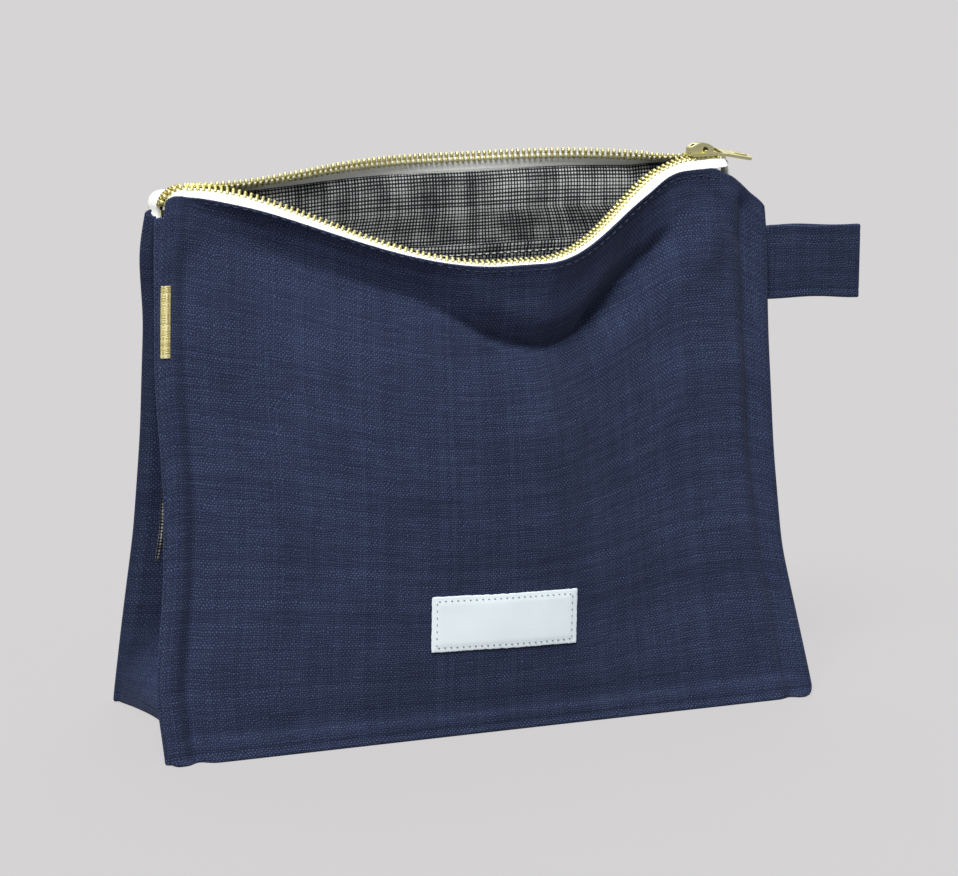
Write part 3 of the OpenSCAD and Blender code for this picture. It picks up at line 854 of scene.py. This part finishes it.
def fold_share(room, half, z):
    """The share of the fold's depth that a gusset has, room in from its seam. Its walls are steeper above
    the foot."""
    free = np.clip((room - ROLL_D[-1]) / np.maximum(half - ROLL_D[-1], 1), 0, 1)
    return 1 - (1 - free) ** mix(1.9, 3.0, ease((z - 6) / 30))


GUSSET_DIP = 3.2  # how far a gusset's top edge dips between its two seams


def gusset_grid(end, z0, z1, roll, inset, rows, cols):
    """A side gusset's outer face: a valley that opens flat at the foot, with a roll of cloth beside each seam
    if roll is true. inset moves it in from the seams."""
    t = np.linspace(0, 1, rows)[:, None]
    d = (ROLL_D if roll else ROLL_D[:1]) + inset
    inner = np.linspace(-1, 1, cols)[None, 1:-1]
    half = edge_half_gap(z0 + (z1 - z0) * t)
    y = np.concatenate([-half + d, inner * (half - d[-1]), half - d[::-1]], 1)
    s = y / half
    z = z0 + (z1 - GUSSET_DIP * (1 - s**2) + 1.2 * s - z0) * t
    edge = mix(left_edge(FRONT, z), left_edge(BACK, z), (s + 1) / 2) if end < 0 else right_edge(z)
    room = half - np.abs(y)
    out = np.interp(room, ROLL_D, ROLL_OUT) if roll else 0 * y - 0.35
    valley = fold_depth(z) * fold_share(room, half, z)
    waves = 0.4 * ripple(y * 1.4, z, 21 + end) * ease((room - 5) / 6)
    tucked = TUCKED if end > 0 else 0
    x = edge - end * valley + end * (out + waves - inset - tucked)
    return np.stack([x, y, z], -1)


def make_gusset(end, name, node):
    p = gusset_grid(end, 0.9, 177 if end < 0 else 167, True, 0, 130, 59)
    obj = slab(name, p, -facing(p, end, 0), 1.3, CANVAS, arc=5)
    return place(obj, "pouch", "canvas", node)


left_gusset = make_gusset(-1, "left_gusset_canvas", "left_gusset")
right_gusset = make_gusset(1, "right_gusset_canvas", "right_gusset")


def base_grid(inset, z):
    """The base at height z, following the walls' own outline, a little crowned."""
    s = np.linspace(-1, 1, 61)[:, None]
    y = s * (EDGE_Y - inset)
    hollow = FOOT_HOLLOW * fold_share(EDGE_Y - np.abs(y), EDGE_Y, 0)
    left = -BASE_LEFT - 0.5 * (s + 1) + inset - 2.0 + hollow
    right = BASE_RIGHT - inset - hollow
    x = mix(left, right, np.linspace(0, 1, 121)[None, :])
    crown = 0.35 * (1 - s**4) * (1 - (2 * (x - left) / (right - left) - 1) ** 8)
    zz = z + crown + 0.08 * ripple(x, y + 0 * x, 31)
    return np.stack([x, y + 0 * x, np.maximum(zz, z)], -1)


def make_base(name, node, inset, z, thickness, material, slot):
    p = base_grid(inset, z + thickness)
    down = np.broadcast_to(np.array([0.0, 0, -1]), p.shape)
    obj = slab(name, p, down, thickness, material, arc=4)
    return place(obj, "pouch", slot, node)


base_canvas = make_base("base_canvas", "base_panel", 3.0, 0.0, 1.4, CANVAS, "canvas")
base_check = make_base("base_check", "base_lining", 6.5, 2.1, 0.4, LINING, "lining")


# ---------------------------------------------------------------- linings
LINING_THICK = 0.4


def lining_grid(side):
    """A lining's inner face: it hangs inside its panel and turns up onto the underside of the tape."""
    v = np.linspace(0.02, 0.93, 120)
    k = ((v / v[-1]) ** 12)[:, None]
    low = mix(edge_x(side, v, 0)[:, None] + 7.5, -97, k)
    high = mix(edge_x(side, v, 1)[:, None] - 7.5, 84, k)
    x = halved_columns(side, low, high, 90, 80)
    vv = np.broadcast_to(v[:, None], x.shape)
    u, p = panel_base(side, x, vv)
    z = p[..., 2]
    near_seam = 1 - ease((np.minimum(x - low, high - x) - 4) / 10)
    inward = 3.6 + ease((z - 10) / 30) * 0.9 + 2.4 * near_seam
    if side == FRONT:
        inward = inward + 1.8 * ease((z - 90) / 20) * ease((0.9 - vv) / 0.05)
    slack = 0.9 * ripple(x * 1.2, z * 1.5, 41 + side) + 0.8 * bell(z, 150, 9) * ease((x + 60) / 60)
    top_z = fold_at(side, mix(PANEL_LEFT, PANEL_RIGHT, u))[1]
    folds = front_folds(x, z, top_z) if side == FRONT else -2 * np.maximum(bell(z, 128, 26), 0)
    p[..., 1] -= side * (inward - folds + slack * ease((z - 14) / 24) * ease((0.93 - vv) / 0.1))
    attached = rim_point(side, x[-1], 4.2 if side == FRONT else 5.9, -0.75)
    drops = np.array([(0, -side * 0.9, -3.4), (0, -side * 0.6, -1.6), (0, -side * 0.2, -0.5), (0, 0, 0)])
    tucked = [attached + d for d in drops]
    start = p[-1]
    lead = tucked[0] + (tucked[0] - tucked[1])
    ramp_rows = []
    for j in range(1, 9):
        t = j / 9
        ramp_rows.append(start * (1 - t) ** 2 + 2 * t * (1 - t) * lead + tucked[0] * t * t)
    return np.stack([*p, *ramp_rows, *tucked])


def make_lining(side, names, node):
    p = lining_grid(side)
    obj = slab(node + "_whole", p, facing(p, 0, side), LINING_THICK, LINING, arc=3)
    return split_and_hold(obj, side, names, node)


front_linings = make_lining(FRONT, ("front_check_left", "front_check_right"), "front_lining")
back_linings = make_lining(BACK, ("back_check_left", "back_check_right"), "back_lining")


def make_gusset_lining(end, name, node):
    p = gusset_grid(end, 4, 162, False, 2.6, 90, 41)
    out = facing(p, end, 0)
    obj = slab(name, p - out * 2.0, -out, LINING_THICK, LINING, arc=3)
    return place(obj, "pouch", "lining", node)


left_gusset_check = make_gusset_lining(-1, "left_gusset_check", "left_gusset_lining")
right_gusset_check = make_gusset_lining(1, "right_gusset_check", "right_gusset_lining")


POCKET_X = (-27, 50)
POCKET_V = (0.32, 0.87)
POCKET_SPLIT = 0.377  # the share of its width at which the pocket crosses the back cut


def pocket_grid():
    """The slip pocket on the back lining, slack at its mouth, with a folded hem."""
    cu = np.concatenate([np.linspace(0, POCKET_SPLIT, 30), np.linspace(POCKET_SPLIT, 1, 46)[1:]])[None, :]
    cv = np.linspace(0, 1, 60)[:, None]
    x = POCKET_X[0] + (POCKET_X[1] - POCKET_X[0]) * cu + 0 * cv
    x = x + (BACK_CUT - mix(*POCKET_X, POCKET_SPLIT)) * (1 - np.abs(2 * cu - 2 * POCKET_SPLIT))
    v = mix(POCKET_V[0], POCKET_V[1], cv) + 0 * cu
    _, p = panel_base(BACK, x, v)
    slack = 6.6 * (1 - (2 * cu - 1) ** 4) * ease(cv * 1.6)
    hem = 0.35 * ease((cv - 0.9) / 0.02)
    p[..., 1] -= 5.3 + slack + hem + 0.25 * ripple(x * 1.5, p[..., 2], 51) * ease(cv * 3)
    return p


pocket = pocket_grid()
pocket_out = np.broadcast_to(np.array([0.0, 1, 0]), pocket.shape)
pocket_hem_row = pocket[-3]
pockets = split_and_hold(
    slab("pocket_whole", pocket, pocket_out, 0.5, LINING, arc=3), BACK,
    ("pocket_check_left", "pocket_check_right"), "inner_pocket")


# ---------------------------------------------------------------- zip tapes and teeth
def spread(x):
    """How far the chain's two rows stand apart where they part at the slider."""
    return 1.5 * ease((SLIDER_X - 1 - x) / 2.6) * ease((x - 64) / 10)


def tape_grid(side, t):
    """One face of a tape, t above its middle, with a bead along its inner edge."""
    cut = cut_of(side)
    x = np.concatenate([np.linspace(ZIP_LEFT - 1.2, cut, 130), np.linspace(cut, ZIP_RIGHT + 1, 110)[1:]])
    rows = []
    for share in (0, 0.08, 0.18, 0.3, 0.45, 0.6, 0.75, 0.88, 1):
        reach = mix(1.0, lap_s(side, x) - 1.0, share)
        start = reach + spread(x) * (1 - share)
        bead = 0.35 * bell(share, 0.08, 0.07)
        dip = 0.22 * math.sin(math.pi * share) + 0.35 * float(ease((share - 0.78) / 0.22))
        rows.append(rim_point(side, x, start, t + (bead if t > 0 else -bead) - dip))
    return np.stack(rows)


def make_tape(side, names, node):
    top = tape_grid(side, 0.25)
    bottom = tape_grid(side, -0.25)
    inward = bottom - top
    thick = np.linalg.norm(inward, axis=-1)
    obj = slab(node + "_whole", top, inward / thick[..., None], thick, TAPE, arc=4)
    return split_and_hold(obj, side, names, node)


make_tape(FRONT, ("front_tape_left", "front_tape_right"), "front_tape")
make_tape(BACK, ("back_tape_left", "back_tape_right"), "back_tape")


TOOTH_THIN = 0.8


def tube_faces(sides, stations):
    """The faces of a closed tube whose points are rings of so many sides, one ring at each station."""
    faces = []
    for r in range(stations - 1):
        for k in range(sides):
            a, b = r * sides + k, r * sides + (k + 1) % sides
            faces.append((a, b, b + sides, a + sides))
    return faces + [tuple(range(sides - 1, -1, -1)), tuple(range((stations - 1) * sides, stations * sides))]


def tooth_shape():
    """One tooth about its own centre: x along the chain, y out to the tape, z up. A nose with shoulders, a
    waist and a crimped foot, as rings of points."""
    stations = (
        (-1.1, 0.25, 0.45), (-1.0, 0.45, 0.8), (-0.65, 0.58, 1.08), (-0.2, 0.6, 1.12), (0.2, 0.5, 1.0),
        (0.5, 0.48, 0.95), (0.8, 0.62, 1.2), (1.3, 0.68, 1.34), (1.8, 0.66, 1.3), (2.2, 0.52, 1.1),
        (2.35, 0.25, 0.65))
    sides = 10
    ring = []
    for k in range(sides):
        a = 2 * math.pi * (k + 0.5) / sides
        c, s = math.cos(a), math.sin(a)
        ring.append((math.copysign(abs(c) ** 0.6, c), math.copysign(abs(s) ** 0.6, s)))
    points = [(cx * w, y, cz * h * TOOTH_THIN + 0.3 - 0.2 * y) for y, w, h in stations for cx, cz in ring]
    return np.array(points), tube_faces(sides, len(stations))


TOOTH_POINTS, TOOTH_FACES = tooth_shape()


def put_shapes(name, shape, faces, frames, material):
    """One mesh of many copies of a small shape. Each frame is (origin, x, y, z axes)."""
    points, all_faces = [], []
    for k, (origin, ax, ay, az) in enumerate(frames):
        points.append(origin + shape[:, :1] * ax + shape[:, 1:2] * ay + shape[:, 2:] * az)
        all_faces += [tuple(i + k * len(shape) for i in f) for f in faces]
    obj = make_mesh(name, np.concatenate(points), all_faces, material)
    fix_winding(obj)
    return obj


def unit(v):
    return v / np.linalg.norm(v)


def tooth_frame(side, x):
    """The frame of the tooth at x, square to the chain."""
    s = float(spread(np.array(x)))
    at = rim_point(side, x, s, 0)
    along = unit(rim_point(side, x + 0.5, s, 0) - rim_point(side, x - 0.5, s, 0))
    out = rim_point(side, x, s + 1, 0) - at
    out = unit(out - along * (out @ along))
    return at, along, out, np.cross(along, out) * (1 if side == BACK else -1)


def tooth_places(side, first, last):
    """Teeth one pitch apart along the rim; the last four mesh in the slider and count from the right end."""
    meshed = [last - k * TOOTH_PITCH for k in range(4)]
    end = meshed[3] - 0.8 * TOOTH_PITCH
    x, places = first, []
    while x <= end:
        places.append(x)
        step = np.linalg.norm(rim_point(side, x + 0.5, 0, 0) - rim_point(side, x - 0.5, 0, 0))
        x += TOOTH_PITCH / step
    return places + meshed


def make_teeth(side, names, node):
    half = TOOTH_PITCH / 2
    k = 0.5 if side == FRONT else 1.5
    places = tooth_places(side, ZIP_LEFT + k * half, ZIP_RIGHT - k * half)
    for name, left in zip(names, (True, False)):
        frames = [tooth_frame(side, x) for x in places if (x < cut_of(side)) == left]
        obj = put_shapes(name, TOOTH_POINTS, TOOTH_FACES, frames, TEETH_BRASS)
        hold_half(obj, node)


make_teeth(FRONT, ("front_teeth_left", "front_teeth_right"), "front_teeth")
make_teeth(BACK, ("back_teeth_left", "back_teeth_right"), "back_teeth")

# The left end of the zip turns down over the end of the pouch.
BEND_R = 7.2
BEND_X = ZIP_LEFT - 0.9
BEND_Z = zip_z(ZIP_LEFT) - BEND_R
END_STEP = 1 / BEND_R


def bend_point(a, y, lift):
    r = BEND_R + lift
    return np.array([BEND_X - r * math.sin(a), y, BEND_Z + r * math.cos(a)])


def bend_frame(a, side):
    along = np.array([math.cos(a), 0, math.sin(a)])
    return bend_point(a, 0, 0), along, np.array([0.0, side, 0]), np.array([-math.sin(a), 0, math.cos(a)])


end_frames = [bend_frame(END_STEP * (i + 0.5), FRONT if i % 2 == 0 else BACK) for i in range(10)]
end_teeth = put_shapes("left_end_teeth_brass", TOOTH_POINTS, TOOTH_FACES, end_frames, TEETH_BRASS)
place(end_teeth, "pouch", "brass_teeth", "left_end_teeth")


def tape_end_grid(side):
    """One tape's turned-down end: it bends over with the chain, then narrows into the seam."""
    rows = []
    flare = (-0.7, -1.6) if side == FRONT else (0.1, 2.9)
    angles = np.radians(np.linspace(-14, 82, 22))
    for share in np.linspace(0, 1, 9):
        line = []
        for a in angles:
            turn = float(ease(a / math.radians(70)))
            y = mix(0.9, mix(4.2, 5.0, turn), share)
            lift = mix(-1.9 * share**1.3, flare[0] + flare[1] * share, turn)
            line.append(bend_point(a, side * y, lift))
        last = line[-1]
        for j in range(1, 9):
            t = j / 8
            narrow = mix(1, 0.12, ease(t))
            line.append(np.array([last[0] + 0.8 * t + 1.4 * share * t, last[1] * narrow, last[2] - 6.0 * t]))
        rows.append(line)
    return np.array(rows)


for side, tag in ((FRONT, "front"), (BACK, "back")):
    end_grid = tape_end_grid(side)
    tape_end = slab("left_tape_end_" + tag, end_grid, -facing(end_grid, -1, 0), 0.5, TAPE, arc=4)
    place(tape_end, "pouch", "tape", "left_tape_end")


# ---------------------------------------------------------------- slider and stops
PULL_ROLL = 12


def dress(obj, material, width_mm):
    """Rounds a piece's edges and gives it a worked material."""
    bevel = obj.modifiers.new("rounded", "BEVEL")
    bevel.width = width_mm * MM
    bevel.segments = 3
    bevel.limit_method = "ANGLE"
    bevel.angle_limit = math.radians(35)
    bevel.harden_normals = False
    obj.data.materials.clear()
    obj.data.materials.append(material)


def polish(node, material, width_mm):
    """A CAD node kept as it is, dressed."""
    obj = frame["nodes"][node]
    dress(obj, material, width_mm)


polish("slider_body", SLIDER_BRASS, 0.22)
polish("slider_crown", SLIDER_BRASS, 0.35)


def make_pull():
    """The pull tab, rolled over a little about its length, as a loose pull hangs."""
    mesh = frame["nodes"]["pull_tab"].data.copy()
    obj = add_object("pull_tab_rolled", mesh)
    pin = Vector(joint("pull_hinge")["pos_m"])
    roll = Matrix.Rotation(math.radians(PULL_ROLL), 4, "X")
    mesh.transform(Matrix.Translation(pin) @ roll @ Matrix.Translation(-pin))
    dress(obj, SLIDER_BRASS, 0.18)
    return place(obj, "pull", "brass_slider", "pull_tab")


make_pull()
polish("lock_spring", STEEL, 0.05)
polish("top_stops", SLIDER_BRASS, 0.25)
polish("bottom_stop", SLIDER_BRASS, 0.4)
polish("right_tape_end", TAPE, 0.2)


# ---------------------------------------------------------------- stitches
def stitch_shape(length, radius):
    """A short arched thread: x along it, z up."""
    sides, stations = 7, 7
    points = []
    for i in range(stations):
        t = i / (stations - 1) * 2 - 1
        r = radius * math.sqrt(max(0.05, 1 - abs(t) ** 4))
        lift = radius * 0.9 * (1 - t * t) - radius * 0.9 * t * t
        for k in range(sides):
            a = 2 * math.pi * k / sides
            points.append((t * length / 2, r * math.cos(a), lift + r * math.sin(a)))
    return np.array(points), tube_faces(sides, stations)


def surface_sampler(obj):
    """Finds the point and normal of a mesh nearest to a place given in millimetres."""
    def find(p):
        _, at, normal, _ = obj.closest_point_on_mesh(Vector(p) * MM)
        return np.array(at) / MM, np.array(normal)
    return find


def panel_finder(panels, cut):
    """Finds a panel's nearest point and normal, 1 mm clear of the closed ends of its two halves."""
    finders = [surface_sampler(p) for p in panels]

    def find(x, y, z):
        left = x < cut
        clear = min(x, cut - 1) if left else max(x, cut + 1)
        at, normal = finders[0 if left else 1]((clear, y, z))
        return np.array([x, at[1], at[2]]), normal
    return find


def rim_stitches(side, names, node, panels):
    """Topstitching just under each panel's fold, laid on the panel's own face."""
    shape, faces = stitch_shape(1.9, 0.16)
    find = panel_finder(panels, cut_of(side))

    def on_panel(x):
        y, z = fold_at(side, np.array(x))
        return find(x, float(y) + side * 2.0, float(z) - 1.6)

    for name, left in zip(names, (True, False)):
        frames = []
        for x in np.arange(-94, 92, 3.0):
            if (x < cut_of(side)) != left:
                continue
            at, normal = on_panel(x)
            along = unit(on_panel(x + 0.8)[0] - on_panel(x - 0.8)[0])
            normal = unit(normal - along * (normal @ along))
            frames.append((at + normal * 0.05, along, np.cross(normal, along), normal))
        obj = put_shapes(name, shape, faces, frames, NAVY_THREAD)
        hold_half(obj, node)


rim_stitches(FRONT, ("front_topstitch_left", "front_topstitch_right"), "front_rim_stitching", front_panels)
rim_stitches(BACK, ("back_topstitch_left", "back_topstitch_right"), "back_rim_stitching", back_panels)


def lengths_along(path):
    return np.concatenate([[0], np.cumsum(np.linalg.norm(np.diff(path, axis=0), axis=1))])


def pocket_stitches():
    """Pale stitches along the hem of the pocket's mouth."""
    shape, faces = stitch_shape(1.5, 0.22)
    path = pocket_hem_row
    length = lengths_along(path)
    spots = np.arange(3, length[-1] - 3, 2.6)
    for name, left in (("pocket_stitches_left", True), ("pocket_stitches_right", False)):
        frames = []
        for d in spots:
            at = np.array([np.interp(d, length, path[:, k]) for k in range(3)])
            if (at[0] < BACK_CUT) != left:
                continue
            ahead = np.array([np.interp(d + 0.5, length, path[:, k]) for k in range(3)])
            along = unit(ahead - at)
            normal = unit(np.array([0, -1.0, 0]) + along * along[1])
            frames.append((at + normal * 0.3, along, np.cross(normal, along), normal))
        obj = put_shapes(name, shape, faces, frames, LIGHT_THREAD)
        hold_half(obj, "pocket_stitching")


pocket_stitches()


# ---------------------------------------------------------------- label
LABEL_SIZE = (52.0, 18.5)
LABEL_AT = (-2.5, 38.8)
LABEL_TILT = math.radians(-1.7)


def label_place(a, b):
    """A point of the label's plane at a across and b up, as (x, z) on the front."""
    c, s = math.cos(LABEL_TILT), math.sin(LABEL_TILT)
    return LABEL_AT[0] + a * c - b * s, LABEL_AT[1] + a * s + b * c


find_on_front = panel_finder(front_panels, FRONT_CUT)


def on_front(x, z):
    """The front panel's point and normal at x, z."""
    return find_on_front(x, -EDGE_Y + 6.5 * z / 158 - 6, z)


def make_label():
    cols, rows = 66, 26
    rng = np.random.default_rng(7)
    outer = np.zeros((rows, cols, 3))
    inward = np.zeros((rows, cols, 3))
    fray = rng.normal(0, 0.05, (rows, cols))
    for r in range(rows):
        for c in range(cols):
            a = mix(-0.5, 0.5, c / (cols - 1)) * LABEL_SIZE[0]
            b = mix(-0.5, 0.5, r / (rows - 1)) * LABEL_SIZE[1]
            on_rim = r in (0, rows - 1) or c in (0, cols - 1)
            x, z = label_place(a + (fray[r, c] if on_rim else 0), b + (fray[c % rows, c] if on_rim else 0))
            at, normal = on_front(x, z)
            edge = min(LABEL_SIZE[0] / 2 - abs(a), LABEL_SIZE[1] / 2 - abs(b))
            puff = 0.22 * float(ease(edge / 3)) + 0.62 - 0.12 * float(bell(edge, 1.1, 0.4))
            outer[r, c] = at + normal * puff
            inward[r, c] = -normal
    obj = slab("label_cloth", outer, inward, 0.45, LABEL, arc=4)
    return place(obj, "pouch", "label_cloth", "label")


label_cloth = make_label()


def label_stitching():
    shape, faces = stitch_shape(0.85, 0.17)
    find = surface_sampler(label_cloth)
    w, h = LABEL_SIZE[0] - 2.2, LABEL_SIZE[1] - 2.2
    across, up = int(w / 2.1), int(h / 2.1)
    spots = [((i + 0.5) / across * w - w / 2, side * h / 2, 0) for i in range(across) for side in (-1, 1)]
    spots += [(side * w / 2, (i + 0.5) / up * h - h / 2, 1) for i in range(up) for side in (-1, 1)]
    frames = []
    for a, b, upright in spots:
        x, z = label_place(a, b)
        at, normal = find((x, -EDGE_Y - 3, z))
        ahead = np.array(label_place(a + (0 if upright else 1), b + (1 if upright else 0)))
        along = unit(np.array([ahead[0] - x, 0, ahead[1] - z]))
        along = unit(along - normal * (along @ normal))
        frames.append((at - normal * 0.02, along, np.cross(normal, along), normal))
    obj = put_shapes("label_stitch_marks", shape, faces, frames, LABEL_THREAD)
    return place(obj, "pouch", "light_thread", "label_stitches")


label_stitching()


# ---------------------------------------------------------------- gold ribbon and side loop
def make_gold():
    """A short ribbon folded into the front left seam: one leaf on the panel, one on the gusset's ridge."""
    low, high = box_mm("gold_tab")
    z = np.linspace(low[2], high[2], 40)[:, None]
    edge = left_edge(FRONT, z)
    front = -edge_half_gap(z)
    section = ((3.1, -1.15), (2.5, -1.3), (1.9, -1.35), (1.5, -1.2), (1.1, -1.3), (0.5, -1.1), (0, -0.4),
               (-0.2, 0.4), (-0.2, 1.0), (-0.4, 1.4))
    x = np.concatenate([edge + s[0] + 0.6 for s in section], 1)
    y = np.concatenate([front + s[1] for s in section], 1)
    p = np.stack([x, y, z + 0 * x], -1)
    obj = slab("gold_ribbon_fold", p, -facing(p, -1, -1), 0.35, GOLD, arc=4)
    place(obj, "pouch", "gold_ribbon", "gold_tab")


make_gold()


def loop_path(count):
    """The loop strip's centre line in plan, from one end in the seam, round the far end and back."""
    root_x, tip_x = LOOP_LOW[0] - 1.5, LOOP_HIGH[0]
    mid_y = (LOOP_LOW[1] + LOOP_HIGH[1]) / 2
    half = 1.5
    length = tip_x - root_x - half
    points = []
    for t in np.linspace(0, 1, count):
        x = root_x + length * t
        open_y = 0.75 + (half - 0.75) * float(ease(t * 1.6)) + 0.5 * math.sin(math.pi * t) ** 2
        points.append((x, mid_y - open_y))
    turn = [(root_x + length + (half - 0.7) * math.sin(a), mid_y - half * math.cos(a))
            for a in np.linspace(0.3, math.pi - 0.3, 8)]
    back = [(x, 2 * mid_y - y) for x, y in reversed(points)]
    return np.array(points + turn + back)


def make_loop():
    path = loop_path(44)
    along = lengths_along(path)
    z = np.linspace(LOOP_LOW[2] + 0.6, LOOP_HIGH[2] - 0.6, 34)
    p = np.zeros((len(z), len(path), 3))
    for r, h in enumerate(z):
        share = (h - z[0]) / (z[-1] - z[0])
        edge = min(share, 1 - share) * (z[-1] - z[0])
        wave = 0.25 * np.sin(along / 5.1 + 1.0) * (2 * share - 1)
        p[r, :, 0] = path[:, 0]
        p[r, :, 1] = path[:, 1]
        p[r, :, 2] = h + wave - 1.1 * ease((path[:, 0] - path[0, 0]) / 40) ** 2
        outwards = np.where(np.arange(len(path)) < len(path) // 2, 1, -1)
        p[r, :, 1] += outwards * 0.18 * float(bell(edge, 2.2, 0.5))
    out = grid_normals(p)
    if out[:, : len(path) // 2, 1].mean() > 0:
        out = -out
    obj = slab("side_loop_strip", p, -out, 1.1, CANVAS, arc=5)
    return place(obj, "loop", "canvas", "side_loop")


loop = make_loop()


# ---------------------------------------------------------------- cloth sizes
def declare(held, *pieces):
    """Works out each piece's width and length from the span of its own flat coordinates, and keeps neither.
    """
    for obj in pieces:
        width, length = (round(float(w), 4) for w in np.ptp(flat_places(obj), axis=0)[:2])


declare("stretched", *front_panels, *back_panels, *front_linings, *back_linings, *pockets)
declare("stretched", base_canvas, base_check, label_cloth)
declare("folded", left_gusset, right_gusset, left_gusset_check, right_gusset_check, loop)


# ---------------------------------------------------------------- stage, light and camera
SUN = 3.6
SUN_TRAVEL = (0.32, 0.45, -0.83)
BACK_SUN = 1.3
BACK_TRAVEL = (-0.25, -0.6, -0.76)
SURROUND = 0.3
PALE = linear(214, 212, 213)
FLOOR_TONE = 0.131  # what the floor reflects, as a share of PALE: glow and reflection add up to PALE
FLOOR_GLOW = 0.8
FLOOR_FILL = 0.3
FLOOR_HALF = 9e4
CAMERA_TARGET = (0.003515, 0, 0.093204)
CAMERA_YAW = math.radians(20.52)
CAMERA_RISE = math.radians(11.312)
CAMERA_DISTANCE = 0.960568
CAMERA_LENS = 103.94


def make_stage():
    """A wide pale floor, even in tone, that takes a soft shadow and throws back only a little light."""
    m = Material("studio_floor")
    grain = m.noise(m.objects(), 3.0, 2.0, 0.5)
    tone = shade(PALE, FLOOR_TONE)
    m.set(Base_Color=m.ramp(grain, ((0.3, shade(tone, 0.995)), (0.7, shade(tone, 1.005)))), Roughness=0.95)
    seen = m.node("ShaderNodeLightPath").outputs["Is Camera Ray"]
    m.set(Specular_IOR_Level=0.0, Emission_Color=(*PALE, 1))
    m.set(Emission_Strength=m.span(seen, FLOOR_FILL, FLOOR_GLOW))
    corners = ((-1, -1), (1, -1), (1, 1), (-1, 1))
    points = [(x * FLOOR_HALF, y * FLOOR_HALF, -0.02) for x, y in corners]
    make_mesh("studio_floor", points, [(0, 1, 2, 3)], m.material)


def add_sun(name, energy, spread_deg, travel):
    data = bpy.data.lights.new(name, "SUN")
    data.energy = energy
    data.angle = math.radians(spread_deg)
    sun = add_object(name, data)
    sun.rotation_euler = Vector(travel).to_track_quat("-Z", "Y").to_euler()


def make_lights():
    """A broad key from the upper left of the front, a weaker one from behind, and a soft surround."""
    add_sun("key", SUN, 30, SUN_TRAVEL)
    add_sun("back_fill", BACK_SUN, 60, BACK_TRAVEL)
    bpy.context.scene.world = make_world()


def make_world():
    """A soft surround, stronger overhead and from the front, so that metal has something to reflect."""
    world = bpy.data.worlds.new("studio")
    world.use_nodes = True
    m = Nodes(world)
    sky = world.node_tree.nodes["Background"]
    sky.inputs["Color"].default_value = (1, 1, 1, 1)
    parts = m.parts(m.node("ShaderNodeTexCoord").outputs["Generated"])
    stops = ((0.0, 0.7), (0.18, 0.7), (0.26, 0.5), (0.45, 0.5), (0.6, 1.0), (1.0, 1.0))
    height = m.ramp(parts["Z"], [(position, (value,) * 3) for position, value in stops])
    front = m.mul_add(parts["Y"], -0.7, 1.0)
    strength = m.mul(m.mul(height, front), SURROUND)
    m.link(strength, sky.inputs["Strength"])
    return world


def make_camera():
    """The photograph's own viewpoint: left of the front and a little above."""
    level = math.cos(CAMERA_RISE)
    back = Vector((-math.sin(CAMERA_YAW) * level, -math.cos(CAMERA_YAW) * level, math.sin(CAMERA_RISE)))
    data = bpy.data.cameras.new("camera")
    data.lens = CAMERA_LENS
    data.sensor_width = 36
    data.clip_start, data.clip_end = 0.05, 300
    camera = add_object("camera", data)
    camera.location = Vector(CAMERA_TARGET) + back * CAMERA_DISTANCE
    camera.rotation_euler = (-back).to_track_quat("-Z", "Y").to_euler()
    bpy.context.scene.camera = camera


make_stage()
make_lights()
make_camera()
bpy.context.scene.view_settings.view_transform = "Standard"
